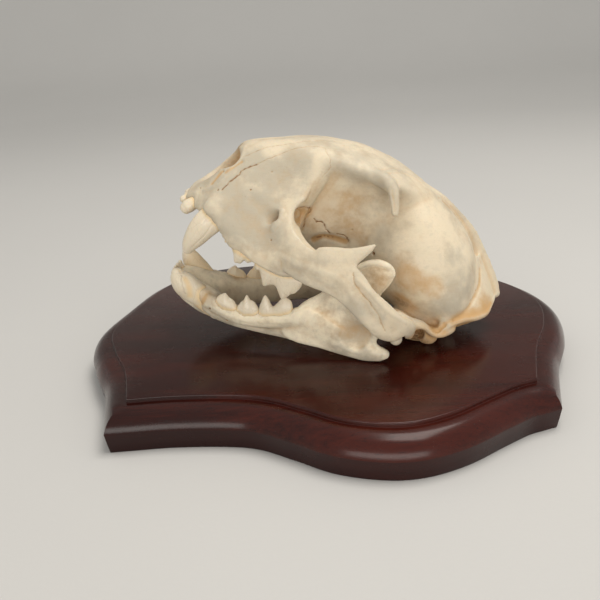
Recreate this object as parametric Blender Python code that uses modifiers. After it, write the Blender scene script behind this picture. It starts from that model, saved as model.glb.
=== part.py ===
"""Cougar skull, cranium and lower jaw with the teeth, resting on a shaped wooden plaque, at real size.

Each bone is drawn in its own frame in millimetres: +X to the rear, +Z up, its left side at -Y.
The cranium's frame has its origin at the front of the upper jaw, level with the tooth row.
The part's frame has +Z up, with its origin under the middle of the plaque.
"""
import math

import bmesh
import bpy
import numpy as np
from mathutils import Matrix, Vector

MM = 0.001
GAP = 0.3

# Plaque: one board with a raised field, a step, a rounded moulding and a plain lower band.
BOARD_HEIGHT = 25.0
STEP_HEIGHT = 2.6
STEP_WIDTH = 1.8
OVOLO_WIDTH = 11.4
OVOLO_HEIGHT = 9.4
BAND_UNDERCUT = 1.6
FOOT_CHAMFER = 0.6
PLAQUE_CENTRE = (17.5, 400.0)
LEFT_CORNER = (-94.0, 320.0)
RIGHT_CORNER = (122.0, 319.0)
# Points of the raised field's edge between its two sharp corners, from the right round the back.
BACK_EDGE = (
    (126.0, 332.0), (134.5, 357.0), (148.0, 385.0), (155.0, 413.0), (151.0, 438.0), (138.0, 460.0),
    (111.0, 487.0), (70.0, 507.0), (20.0, 516.0), (-30.0, 514.0), (-67.0, 506.0), (-95.0, 483.0),
    (-111.0, 442.0), (-120.0, 407.0), (-112.0, 377.0), (-101.0, 351.0),
)
FRONT_EDGE = (
    (-70.0, 321.0), (-40.0, 319.0), (-20.0, 314.0), (0.0, 302.0), (20.0, 289.5), (46.0, 284.0),
    (70.0, 290.5), (94.0, 305.0), (110.0, 314.5),
)

# Poses on the plaque: turn about +Z, nose-up tilt, and where the frame's pivot comes to.
SKULL_TURN = math.radians(-3.5)
CRANIUM_TILT = math.radians(30.0)
CRANIUM_PIVOT = (95.0, 0.0, 20.0)
CRANIUM_PLACE = (28.0, 394.5, 55.6)
JAW_TILT = math.radians(7.5)
JAW_PIVOT = (0.0, 0.0, -14.0)
JAW_PLACE = (-66.8, 400.3, 0.0)

# Finish of the facets, the rings of a rod's round end, and the slope from which a rod counts as upright.
BALL_SEGMENTS = 28
BALL_RINGS = 18
CAP_TURNS = (math.radians(35.0), math.radians(62.0))
STEEP = 0.8
CREASE = math.radians(35.0)
CORE_VOXEL = 1.3
CORE_SOFTENING = 8
VOXEL = 0.85
CRANIUM_TRIANGLES = 5200
ARCH_TRIANGLES = 520
JAW_TRIANGLES = 1150

# Face, in sections from the front teeth back to the front wall of the eye sockets: (x, height of the
# middle of the top, four points (y, z) down the side, height of the palate's middle).
FACE = (
    (1.0, 9.0, ((5.0, 8.5), (9.0, 6.5), (10.5, 4.0), (8.0, 1.5)), 2.0),
    (6.0, 18.0, ((8.0, 17.0), (13.0, 12.0), (14.5, 6.0), (11.5, 1.5)), 3.0),
    (12.0, 36.0, ((8.5, 34.5), (15.5, 24.0), (21.5, 12.0), (20.0, 2.5)), 4.0),
    (18.0, 45.5, ((9.0, 43.5), (18.0, 31.0), (25.0, 15.0), (25.0, 2.5)), 5.0),
    (26.0, 51.5, ((11.5, 48.5), (19.5, 34.0), (25.5, 17.0), (26.5, 1.0)), 6.0),
    (35.0, 57.0, ((14.0, 53.0), (20.5, 38.0), (25.0, 20.0), (27.5, -1.0)), 7.0),
    (45.0, 63.0, ((16.5, 58.5), (22.0, 42.0), (28.5, 23.0), (32.0, -2.5)), 7.5),
    (54.0, 67.5, ((19.0, 62.0), (25.0, 46.0), (34.5, 24.5), (37.0, -3.0)), 7.5),
    (61.0, 70.0, ((21.0, 64.5), (27.0, 50.0), (38.5, 27.0), (40.0, -2.5)), 7.5),
    (66.0, 71.5, ((22.0, 65.0), (25.0, 53.0), (33.0, 27.0), (39.0, -1.0)), 7.5),
)
# Bone between the eye sockets, from the face back to the waist in front of the braincase.
MIDDLE = (
    (50.0, 64.0, ((15.0, 60.0), (16.0, 48.0), (16.0, 30.0), (12.0, 10.0)), 9.0),
    (62.0, 70.0, ((22.0, 64.5), (19.0, 52.0), (15.5, 32.0), (12.0, 9.0)), 8.5),
    (74.0, 74.0, ((25.5, 66.5), (20.0, 54.0), (15.0, 32.0), (11.5, 8.5)), 8.5),
    (86.0, 75.3, ((29.0, 68.5), (20.5, 56.0), (14.5, 32.0), (11.0, 7.5)), 8.5),
    (97.0, 75.3, ((31.0, 69.0), (21.0, 57.0), (15.0, 33.0), (10.5, 6.5)), 8.0),
    (106.0, 74.2, ((27.0, 69.0), (21.0, 58.0), (17.0, 36.0), (10.0, 5.5)), 7.0),
    (114.0, 73.0, ((20.5, 67.8), (21.0, 54.0), (21.0, 34.0), (11.0, 6.0)), 6.0),
    (123.0, 71.8, ((12.5, 67.8), (18.0, 50.0), (18.0, 30.0), (11.0, 6.0)), 5.0),
    (132.0, 69.8, ((7.0, 65.5), (14.0, 48.0), (14.0, 30.0), (11.0, 6.0)), 5.0),
)
# Braincase.
DOME = (
    (104.0, 64.0, ((13.0, 59.0), (17.5, 46.0), (17.0, 30.0), (10.0, 14.0)), 12.0),
    (110.0, 69.0, ((17.0, 62.0), (21.5, 47.0), (21.5, 29.0), (12.0, 9.0)), 7.0),
    (116.0, 70.8, ((20.0, 63.5), (26.5, 47.0), (26.5, 27.0), (14.0, 6.5)), 4.8),
    (123.0, 70.5, ((22.5, 62.5), (31.5, 46.0), (31.5, 25.0), (16.0, 5.0)), 3.5),
    (134.0, 68.5, ((24.5, 60.0), (35.5, 43.0), (36.0, 22.0), (17.0, 4.0)), 3.0),
    (146.0, 64.0, ((25.0, 55.5), (36.5, 39.0), (37.5, 19.0), (18.0, 3.0)), 3.0),
    (157.0, 57.5, ((23.0, 49.5), (34.5, 34.0), (36.0, 17.0), (17.0, 4.0)), 4.0),
    (165.0, 50.0, ((18.0, 43.0), (29.0, 30.0), (30.0, 16.0), (16.0, 6.0)), 5.0),
    (171.0, 42.0, ((12.0, 37.5), (20.0, 28.0), (20.0, 17.0), (12.0, 8.0)), 6.0),
    (175.0, 33.0, ((6.0, 31.0), (10.0, 26.0), (11.0, 17.0), (7.0, 11.0)), 9.0),
)
# Plate at the back, as triangles at growing distances from the middle: (y, crest's edge, place on the
# dome's top, place on its underside), each an (x, z).
NAPE = (
    (0.0, (194.0, 33.0), (168.0, 52.0), (177.5, 19.0)),
    (7.0, (193.0, 31.5), (167.0, 50.0), (177.0, 18.5)),
    (14.0, (190.0, 27.5), (165.0, 44.0), (175.0, 12.0)),
    (22.0, (185.5, 24.5), (163.0, 37.0), (171.0, 8.0)),
    (29.0, (179.5, 22.5), (159.0, 29.0), (166.0, 5.0)),
    (35.0, (171.0, 17.0), (154.0, 20.0), (161.0, 1.0)),
    (39.0, (163.0, 7.0), (152.0, 10.0), (158.0, -2.0)),
)
# Bars of bone: (x, y, z, half thickness, half depth) along each.
SAGITTAL_CREST = (
    (118.0, 0.0, 69.0, 3.0, 3.5), (131.0, 0.0, 68.0, 1.8, 3.6), (144.0, 0.0, 64.0, 1.4, 4.0),
    (157.0, 0.0, 58.5, 1.3, 4.6), (168.0, 0.0, 51.0, 1.3, 4.8), (178.0, 0.0, 43.5, 1.4, 5.0),
    (186.5, 0.0, 37.0, 1.6, 4.6), (192.0, 0.0, 33.0, 2.0, 3.0),
)
POSTORBITAL_PROCESS = (
    (86.0, 22.0, 68.0, 9.0, 4.5), (94.0, 29.0, 66.5, 7.0, 3.8), (100.0, 33.0, 63.5, 4.6, 2.8),
    (103.5, 35.0, 59.0, 3.2, 2.2), (105.0, 35.8, 54.0, 1.6, 1.4),
)
ARCH = (
    (58.0, 34.5, 15.0, 3.0, 9.0), (66.0, 42.3, 14.5, 4.0, 12.2), (76.0, 49.5, 14.6, 3.4, 12.0),
    (87.0, 55.2, 17.0, 2.9, 11.6), (97.0, 60.0, 17.0, 2.7, 10.6), (107.0, 63.2, 13.8, 2.6, 9.0),
    (118.0, 64.0, 10.5, 2.8, 9.2), (128.0, 61.5, 7.0, 3.4, 8.6), (135.0, 56.5, 6.0, 4.5, 7.2),
    (138.0, 50.0, 7.5, 6.5, 5.4), (138.0, 40.0, 9.0, 9.0, 5.0), (138.0, 30.0, 12.0, 10.0, 6.0),
)
ARCH_ROOT = (
    (38.0, 19.0, 19.0, 4.0, 9.0), (48.0, 26.0, 18.0, 5.5, 12.0), (57.0, 33.0, 17.0, 6.4, 13.4),
    (66.0, 40.2, 16.0, 6.0, 13.0), (75.0, 47.0, 15.5, 4.2, 11.5), (80.0, 50.5, 15.0, 2.0, 8.0),
)
CHEEK_PROCESS = (
    (80.0, 52.3, 19.0, 2.6, 8.0), (89.0, 56.4, 26.0, 2.6, 7.4), (94.5, 58.0, 33.0, 2.4, 4.4),
    (98.0, 58.4, 38.4, 1.9, 2.6), (99.5, 58.3, 41.4, 1.1, 1.3),
)
ALVEOLAR_RIDGE = (
    (46.0, 32.0, 4.0, 4.0, 6.0), (58.0, 37.0, 3.0, 4.0, 6.5), (68.0, 39.5, 3.5, 3.6, 6.0),
    (77.0, 39.5, 5.5, 2.6, 4.5),
)
PTERYGOID = (
    (84.0, 12.0, 8.0, 2.4, 5.0), (96.0, 10.5, 6.0, 1.8, 5.5), (106.0, 10.0, 4.5, 1.6, 5.5),
    (113.0, 10.5, 1.5, 1.2, 2.5),
)
POSTGLENOID = (
    (143.5, 37.0, 3.0, 2.0, 4.4), (144.0, 46.0, 1.5, 2.0, 5.0), (143.4, 54.5, 2.0, 1.8, 4.4),
)
PAROCCIPITAL = (
    (160.0, 28.0, 8.0, 4.0, 5.0), (162.0, 27.5, 0.0, 3.2, 3.4), (162.5, 27.0, -3.6, 1.8, 1.8),
)
SUPRAMEATAL_CREST = (
    (136.0, 44.0, 9.5, 3.5, 3.6), (146.0, 40.5, 9.5, 3.2, 3.4), (156.0, 38.5, 8.0, 3.4, 4.2),
    (163.0, 38.0, 6.0, 2.6, 5.0),
)
BASE_OF_SKULL = (
    (100.0, 0.0, 8.0, 7.0, 4.0), (115.0, 0.0, 6.0, 8.0, 4.0), (135.0, 0.0, 5.0, 10.0, 4.0),
    (155.0, 0.0, 5.0, 10.0, 3.0), (171.0, 0.0, 5.0, 9.0, 2.4),
)
# Rounded bones: (centre, half sizes, turn about +Z in degrees).
BULLA = ((151.0, 22.0, 2.5), (15.5, 10.5, 11.5), -12.0)
MASTOID = ((158.5, 36.5, 1.0), (6.0, 4.6, 7.5), 0.0)
CONDYLE_OF_NAPE = ((171.5, 11.0, 8.5), (6.0, 5.2, 7.0), 20.0)

# Hollows: an eye socket, the nostrils, the canal below the eye, the ear and the back openings.
EYE_SOCKET = ((84.0, 39.5, 43.5), (28.0, 24.0, 22.5), 0.0)
NOSE = (
    (-8.0, 0.0, 26.0, 9.5, 12.0), (6.0, 0.0, 26.5, 10.0, 12.5), (16.0, 0.0, 27.5, 10.0, 12.5),
    (28.0, 0.0, 29.0, 8.5, 10.5), (38.0, 0.0, 31.0, 5.0, 6.5),
)
CANAL = (
    (38.0, 33.5, 20.5, 3.0, 4.4), (49.0, 31.5, 22.5, 3.0, 4.4), (60.0, 28.5, 25.0, 3.2, 4.4),
    (70.0, 26.0, 27.0, 3.2, 4.4),
)
EAR_OPENING = ((151.0, 36.0, 2.0), (4.0, 9.0, 3.6), 0.0)
THROAT = ((98.0, 0.0, 3.5), (17.0, 8.2, 9.0), 0.0)
SPINE_OPENING = ((174.0, 0.0, 13.5), (17.0, 9.0, 7.0), 0.0)
JAW_SOCKET = (136.8, 45.3, 0.0)
JAW_SOCKET_RADIUS = 4.9
JAW_SOCKET_WIDTH = 26.6

# Where the cheek arch parts from its neighbours: a slab's middle, its width and height, and its turn.
FRONT_SUTURE = ((79.5, 50.2, 15.0), (15.0, 50.0), 34.0)
REAR_SUTURE = ((130.0, 60.3, 7.0), (13.0, 40.0), -32.0)

# One half of the lower jaw: (x, inner y, outer y, bottom, top, how far the top leans out).
JAW_BODY = (
    (-13.5, -0.2, 8.0, 17.5, 24.0, 0.8), (-8.0, -0.2, 14.0, 11.5, 26.0, 2.5),
    (0.0, -0.2, 18.0, 6.6, 25.5, 4.5), (8.0, -0.2, 20.5, 3.2, 22.5, 5.5), (15.0, 2.0, 21.5, 1.0, 20.0, 5.0),
    (22.0, 9.5, 23.0, 0.3, 16.8, 5.0), (31.0, 15.0, 26.0, 0.0, 15.8, 5.0),
    (42.0, 19.0, 30.0, 0.2, 16.4, 5.0), (53.0, 23.5, 33.5, 0.6, 19.5, 5.0),
    (62.0, 27.5, 36.5, 1.0, 23.0, 4.5), (72.0, 31.5, 40.0, 1.2, 24.0, 4.0),
    (82.0, 36.0, 43.5, 0.6, 20.0, 3.0), (94.0, 40.5, 47.0, 0.0, 14.0, 2.0),
    (104.0, 43.5, 49.5, 0.2, 10.0, 1.0), (112.0, 45.5, 50.5, 2.0, 8.0, 0.5),
)
RAMUS_OUTLINE = (
    (56.0, 5.0), (64.0, 24.5), (77.0, 36.0), (88.0, 48.5), (95.0, 55.5), (102.0, 59.0), (109.0, 58.5),
    (113.5, 54.0), (111.5, 46.5), (107.5, 40.0), (107.0, 32.0), (110.5, 26.5), (117.0, 22.5),
    (116.5, 16.5), (111.0, 10.5), (112.5, 7.5), (117.8, 6.0), (117.5, 3.6), (109.0, 1.4), (84.0, 1.5),
)
RAMUS_THICKNESS = 3.8
RAMUS_START = (60.0, 33.5)
RAMUS_SLOPE = 0.27
RAMUS_LEAN = 0.06
JAW_CONDYLE = (
    (116.8, 37.5, 19.5, 3.4, 3.6), (117.5, 46.0, 19.8, 4.2, 4.4), (117.5, 54.5, 19.5, 3.6, 3.8),
)

# Hollow on the outer face of the jaw's upright plate.
CHEWING_MUSCLE = ((88.0, 50.0, 16.0), (18.0, 6.0, 12.0), -15.0)

# Teeth that are pegs: (x, y, z, half width, half length) from the root to the tip.
UPPER_CANINE = (
    (30.0, 19.5, 20.0, 4.0, 5.0), (24.5, 22.5, 11.0, 5.0, 6.6), (20.5, 24.2, 3.0, 5.4, 7.2),
    (18.3, 24.8, -3.0, 5.0, 6.4), (16.4, 24.8, -9.5, 4.2, 5.1), (15.4, 24.2, -15.5, 3.4, 4.0),
    (15.6, 23.2, -20.6, 2.5, 2.9),
)
LOWER_CANINE = (
    (12.0, 12.5, 8.0, 4.0, 5.0), (6.5, 13.6, 17.0, 4.9, 6.6), (1.5, 14.6, 24.0, 5.2, 6.9),
    (-2.5, 15.2, 29.5, 4.5, 5.6), (-5.5, 15.4, 35.0, 3.5, 4.0), (-6.8, 15.2, 40.5, 1.7, 1.9),
)
BROKEN_CANINE = (
    (12.0, 12.5, 8.0, 4.0, 5.0), (6.5, 13.6, 17.0, 4.9, 6.8), (0.5, 14.8, 23.5, 5.6, 7.6),
    (-4.0, 15.4, 28.0, 4.8, 5.8), (-7.6, 15.2, 31.5, 3.0, 3.2), (-8.8, 15.0, 34.2, 1.8, 1.8),
)
UPPER_INCISORS = (
    ((8.0, 2.4, 8.0, 1.5, 2.0), (3.0, 2.4, 3.0, 1.9, 2.2), (-0.5, 2.4, -1.5, 1.8, 1.6)),
    ((8.5, 6.6, 8.0, 1.6, 2.2), (3.6, 6.6, 3.0, 2.1, 2.4), (0.2, 6.7, -2.4, 1.9, 1.7)),
    ((11.0, 11.2, 9.0, 2.2, 3.0), (5.8, 11.4, 3.0, 2.9, 3.4), (2.2, 11.6, -2.0, 3.1, 3.2),
     (0.6, 11.6, -5.0, 2.0, 2.0)),
)
LOWER_INCISORS = (
    ((-8.0, 2.2, 17.5, 1.2, 1.8), (-12.6, 2.2, 24.5, 1.3, 1.6), (-14.4, 2.2, 28.5, 1.2, 1.0)),
    ((-8.0, 5.2, 17.5, 1.3, 1.9), (-12.2, 5.2, 24.5, 1.5, 1.7), (-13.8, 5.2, 29.1, 1.4, 1.1)),
    ((-7.0, 8.6, 17.5, 1.5, 2.0), (-10.8, 8.6, 25.0, 1.8, 2.0), (-12.2, 8.8, 29.7, 1.6, 1.2)),
)
SECOND_PREMOLAR = ((33.0, 27.0, 2.0, 1.3, 1.6), (32.6, 27.2, -1.5, 1.3, 1.6), (32.5, 27.2, -3.4, 0.7, 0.9))
FIRST_MOLAR = ((77.0, 36.5, 4.0, 3.4, 2.0), (77.2, 36.5, -1.0, 3.6, 2.2), (77.4, 36.2, -3.2, 2.6, 1.3))
INNER_CUSP = ((56.0, 31.0, 3.0, 2.6, 3.0), (56.0, 30.6, -2.0, 2.6, 2.8), (56.0, 30.4, -5.5, 1.4, 1.6))

ROOT_DEPTH = 4.0

# Teeth that are blades: the gum line's two ends, then (share of the length, half thickness, height).
THIRD_PREMOLAR = (
    ((36.0, 28.0, -0.5), (51.0, 32.2, -3.0)),
    ((0.0, 1.5, 1.2), (0.18, 2.5, 3.4), (0.32, 3.0, 5.6), (0.45, 3.2, 8.6), (0.58, 3.1, 6.0),
     (0.7, 3.0, 4.0), (0.82, 2.9, 4.2), (1.0, 1.8, 1.6)),
)
CARNASSIAL = (
    ((51.8, 33.2, -2.6), (75.5, 40.6, -2.2)),
    ((0.0, 2.0, 2.4), (0.08, 2.8, 5.0), (0.16, 3.0, 4.6), (0.26, 3.4, 7.5), (0.37, 3.6, 11.8),
     (0.48, 3.3, 8.6), (0.56, 3.0, 6.6), (0.68, 3.0, 8.4), (0.86, 2.6, 9.0), (1.0, 1.4, 4.4)),
)
LOWER_BLADES = (
    (((17.0, 22.2, 18.6), (29.2, 25.6, 15.2)),
     ((0.0, 1.3, 1.2), (0.2, 2.2, 3.0), (0.4, 2.7, 6.6), (0.55, 2.6, 4.8), (0.75, 2.4, 3.2),
      (1.0, 1.4, 1.0))),
    (((29.6, 25.8, 15.2), (43.0, 29.8, 16.0)),
     ((0.0, 1.5, 2.0), (0.15, 2.3, 4.2), (0.28, 2.7, 5.2), (0.42, 3.0, 8.8), (0.58, 2.8, 5.4),
      (0.78, 2.6, 4.8), (1.0, 1.6, 1.6))),
    (((43.4, 29.8, 16.4), (60.0, 34.0, 20.6)),
     ((0.0, 1.6, 4.0), (0.14, 2.6, 9.2), (0.3, 2.9, 8.4), (0.44, 2.7, 4.6), (0.54, 2.7, 4.4),
      (0.7, 2.9, 8.4), (0.84, 2.6, 8.2), (1.0, 1.4, 2.0))),
)

# Colours.
MAHOGANY = (0.03, 0.008, 0.006)
IVORY = (0.76, 0.68, 0.53)
CREAM = (0.80, 0.71, 0.56)
PALE_BONE = (0.78, 0.71, 0.58)


def through(points, steps, closed=False):
    """A smooth curve's points through the given ones, each a row of numbers."""
    rows = np.array(points, float)
    count = len(rows)
    spans = count if closed else count - 1
    curve = []
    for span in range(spans):
        if closed:
            a, b, c, d = (rows[(span + offset) % count] for offset in (-1, 0, 1, 2))
        else:
            b, c = rows[span], rows[span + 1]
            a = rows[span - 1] if span > 0 else 2 * b - c
            d = rows[span + 2] if span + 2 < count else 2 * c - b
        for step in range(steps):
            t = step / steps
            curve.append(0.5 * (2 * b + (c - a) * t + (2 * a - 5 * b + 4 * c - d) * t * t
                                + (3 * b - a - 3 * c + d) * t ** 3))
    if not closed:
        curve.append(rows[-1])
    return np.array(curve)


def collection(name):
    """A new collection in the scene."""
    made = bpy.data.collections.new(name)
    bpy.context.scene.collection.children.link(made)
    return made


def solid(name, vertices, faces):
    """An object from vertices in millimetres and faces, its faces turned outwards."""
    mesh = bpy.data.meshes.new(name)
    mesh.from_pydata([Vector(vertex) * MM for vertex in vertices], [], faces)
    piece = bpy.data.objects.new(name, mesh)
    PIECES.objects.link(piece)
    work = bmesh.new()
    work.from_mesh(mesh)
    bmesh.ops.recalc_face_normals(work, faces=work.faces)
    work.to_mesh(mesh)
    work.free()
    return piece


def loft(name, rings):
    """A closed solid through rings of equal counts, its ends closed by flat faces."""
    size = len(rings[0])
    vertices = [tuple(point) for ring in rings for point in ring]
    faces = []
    for row in range(len(rings) - 1):
        for column in range(size):
            following = (column + 1) % size
            faces.append((row * size + column, row * size + following,
                          (row + 1) * size + following, (row + 1) * size + column))
    last = (len(rings) - 1) * size
    faces.append(tuple(range(size)))
    faces.append(tuple(range(last, last + size)))
    return solid(name, vertices, faces)


def symmetric_loft(name, stations):
    """A solid through sections that are alike left and right: x, top, side points, bottom."""
    rows = [(x, top, *(value for pair in side for value in pair), bottom)
            for x, top, side, bottom in stations]
    rings = []
    for row in through(rows, 4):
        x, top, bottom = row[0], row[1], row[-1]
        side = row[2:-1].reshape(-1, 2)
        outline = [(0.0, top), *side, (0.0, bottom), *((-y, z) for y, z in side[::-1])]
        rings.append([(x, y, z) for y, z in through(outline, 4, closed=True)])
    return loft(name, rings)


def bar(name, path, side=1, steps=4, corners=16):
    """A round-ended rod of oval section along a path of (x, y, z, half thickness, half depth)."""
    rows = through([(x, side * y, z, thick, deep) for x, y, z, thick, deep in path], steps)
    centres = [Vector(row[:3]) for row in rows]
    whole = (centres[-1] - centres[0]).normalized()
    upright = Vector((0, 0, 1)) if abs(whole.z) < STEEP else Vector((1, 0, 0))
    rings = []
    for index, row in enumerate(rows):
        before = centres[max(index - 1, 0)]
        after = centres[min(index + 1, len(rows) - 1)]
        along = (after - before).normalized()
        across = along.cross(upright).normalized()
        rise = across.cross(along).normalized()
        ring = [centres[index] + across * row[3] * math.cos(turn) + rise * row[4] * math.sin(turn)
                for turn in (2 * math.pi * corner / corners for corner in range(corners))]
        rings.append((ring, centres[index], along, min(row[3], row[4])))
    closed = [ring for ring, _, _, _ in rings]
    ends = []
    for (ring, centre, along, radius), sign in ((rings[0], -1), (rings[-1], 1)):
        ends.append([[centre + (point - centre) * math.cos(turn) + along * sign * radius * math.sin(turn)
                      for point in ring] for turn in CAP_TURNS])
    return loft(name, [ends[0][1], ends[0][0], *closed, ends[1][0], ends[1][1]])


def primitive(name, shaping):
    """The primitive made last, moved to the object's collection, named and shaped by a matrix."""
    piece = bpy.context.active_object
    piece.name = name
    for holder in piece.users_collection:
        holder.objects.unlink(piece)
    PIECES.objects.link(piece)
    piece.data.transform(shaping)
    return piece


def set_in(place, side, turn, sizes):
    """The matrix that stretches a unit shape, turns it about +Z and moves it to its place on a side."""
    x, y, z = place
    stretch = Matrix.Diagonal((*(size * MM for size in sizes), 1.0))
    spin = Matrix.Rotation(math.radians(side * turn), 4, "Z")
    return Matrix.Translation(Vector((x, side * y, z)) * MM) @ spin @ stretch


def ball(name, shape, side=1):
    """An egg-shaped solid from its centre, half sizes and turn about +Z."""
    centre, radii, turn = shape
    bpy.ops.mesh.primitive_uv_sphere_add(segments=BALL_SEGMENTS, ring_count=BALL_RINGS, radius=1.0)
    return primitive(name, set_in(centre, side, turn, radii))


def blade(name, shape, side, up):
    """A cutting tooth: a crest of cusps along a gum line, with its roots sunk into the bone."""
    (start, end), profile = shape
    start = Vector((start[0], side * start[1], start[2]))
    end = Vector((end[0], side * end[1], end[2]))
    along = (end - start).normalized()
    across = Vector((-along.y, along.x, 0.0)).normalized()
    rings = []
    for share, thick, height in through(profile, 2):
        gum = start.lerp(end, share)
        section = ((0.75, -ROOT_DEPTH), (1.0, -0.5), (0.8, 0.5 * height), (0.0, height),
                   (-0.8, 0.5 * height), (-1.0, -0.5), (-0.75, -ROOT_DEPTH))
        rings.append([gum + across * thick * part + Vector((0, 0, up * rise)) for part, rise in section])
    return loft(name, rings)


def modify(piece, kind, **settings):
    """Adds a modifier with the given settings and applies it to the piece's mesh."""
    modifier = piece.modifiers.new(kind.title(), kind)
    for key, value in settings.items():
        setattr(modifier, key, value)
    graph = bpy.context.evaluated_depsgraph_get()
    mesh = bpy.data.meshes.new_from_object(piece.evaluated_get(graph))
    piece.modifiers.clear()
    old = piece.data
    piece.data = mesh
    bpy.data.meshes.remove(old)
    return piece


def remove(pieces):
    """Deletes objects that have done their work."""
    for piece in list(pieces):
        bpy.data.objects.remove(piece)


def carve(pieces, cutter):
    """Cuts one solid out of each piece, then deletes it."""
    PIECES.objects.unlink(cutter)
    CUTTERS.objects.link(cutter)
    cutter.display_type = "WIRE"
    cutter.hide_render = True
    for piece in pieces:
        modify(piece, "BOOLEAN", operation="DIFFERENCE", solver="EXACT", object=cutter)
    remove([cutter])


def merged(name, pieces):
    """One object that holds every piece's mesh."""
    work = bmesh.new()
    for piece in pieces:
        work.from_mesh(piece.data)
    mesh = bpy.data.meshes.new(name)
    work.to_mesh(mesh)
    work.free()
    whole = bpy.data.objects.new(name, mesh)
    PIECES.objects.link(whole)
    remove(pieces)
    return whole


def blended(name, pieces, voxel, softening):
    """Overlapping pieces as one skin, its inner corners filled and its edges rounded."""
    whole = merged(name, pieces)
    modify(whole, "REMESH", mode="VOXEL", voxel_size=voxel * MM)
    modify(whole, "SMOOTH", factor=0.5, iterations=softening)
    keep_largest(whole)
    return whole


def grown_together(name, pieces, softening, triangles):
    """Overlapping pieces as one smooth skin of about the given number of triangles."""
    whole = blended(name, pieces, VOXEL, softening)
    modify(whole, "TRIANGULATE")
    modify(whole, "DECIMATE", ratio=triangles / len(whole.data.polygons))
    return whole


def islands(mesh):
    """The connected parts of a mesh as sets of vertex numbers, largest first."""
    work = bmesh.new()
    work.from_mesh(mesh)
    work.verts.ensure_lookup_table()
    unseen = set(range(len(work.verts)))
    groups = []
    while unseen:
        edge_of_group = [unseen.pop()]
        group = set(edge_of_group)
        while edge_of_group:
            for edge in work.verts[edge_of_group.pop()].link_edges:
                for vertex in edge.verts:
                    if vertex.index in unseen:
                        unseen.remove(vertex.index)
                        group.add(vertex.index)
                        edge_of_group.append(vertex.index)
        groups.append(group)
    work.free()
    return sorted(groups, key=len, reverse=True)


def keep_only(mesh, group):
    """Deletes every vertex of a mesh but those of one group."""
    work = bmesh.new()
    work.from_mesh(mesh)
    others = [vertex for vertex in work.verts if vertex.index not in group]
    bmesh.ops.delete(work, geom=others, context="VERTS")
    work.to_mesh(mesh)
    work.free()


def keep_largest(piece):
    """Leaves only the largest connected surface of a piece."""
    keep_only(piece.data, islands(piece.data)[0])


def fused(name, body, teeth):
    """A bone with its teeth joined to it by one Boolean union on a collection of the teeth."""
    roots = collection(name + "_teeth")
    for tooth in teeth:
        PIECES.objects.unlink(tooth)
        roots.objects.link(tooth)
    modify(body, "BOOLEAN", operation="UNION", solver="EXACT", operand_type="COLLECTION", collection=roots)
    remove(roots.objects)
    bpy.data.collections.remove(roots)
    keep_largest(body)
    body.name = name
    return body


def separated(whole, names):
    """The largest part of an object, then its next ones from left to right, as objects of their own."""
    groups = islands(whole.data)[:len(names)]
    groups[1:] = sorted(groups[1:], key=lambda group: whole.data.vertices[min(group)].co.y)
    parts = []
    for name, group in zip(names, groups):
        part = bpy.data.objects.new(name, whole.data.copy())
        PIECES.objects.link(part)
        keep_only(part.data, group)
        parts.append(part)
    remove([whole])
    return parts


def suture(cut, side):
    """A thin slab that parts the cheek arch from its neighbour."""
    place, sizes, turn = cut
    bpy.ops.mesh.primitive_cube_add(size=1.0)
    return primitive("suture", set_in(place, side, turn, (GAP, *sizes)))


def jaw_socket(side):
    """The trough that the jaw's hinge lies in."""
    bpy.ops.mesh.primitive_cylinder_add(vertices=24, radius=1.0, depth=1.0)
    sizes = (JAW_SOCKET_RADIUS, JAW_SOCKET_WIDTH, JAW_SOCKET_RADIUS)
    lie = Matrix.Rotation(math.radians(90.0), 4, "X")
    return primitive("jaw_socket", set_in(JAW_SOCKET, side, 0.0, sizes) @ lie)


def nape_plate():
    """The overhanging plate of the nape, lofted across the skull from triangular sections."""
    rows = [(y, *edge, *above, *below) for y, edge, above, below in NAPE]
    rows = [(-row[0], *row[1:]) for row in rows[:0:-1]] + rows
    rings = []
    for y, *places in through(rows, 3):
        corners = np.array(places).reshape(3, 2)
        rings.append([(x, y, z) for x, z in corners])
    return loft("nape", rings)


def upper_teeth():
    """The teeth of the upper jaw, both sides."""
    teeth = []
    for side in (-1, 1):
        teeth.append(bar("upper_canine", UPPER_CANINE, side, steps=2, corners=10))
        for path in UPPER_INCISORS:
            teeth.append(bar("upper_incisor", path, side, steps=1, corners=8))
        teeth.append(bar("second_premolar", SECOND_PREMOLAR, side, steps=1, corners=8))
        teeth.append(blade("third_premolar", THIRD_PREMOLAR, side, -1))
        teeth.append(blade("carnassial", CARNASSIAL, side, -1))
        teeth.append(bar("inner_cusp", INNER_CUSP, side, steps=1, corners=8))
        teeth.append(bar("first_molar", FIRST_MOLAR, side, steps=1, corners=8))
    return teeth


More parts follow.
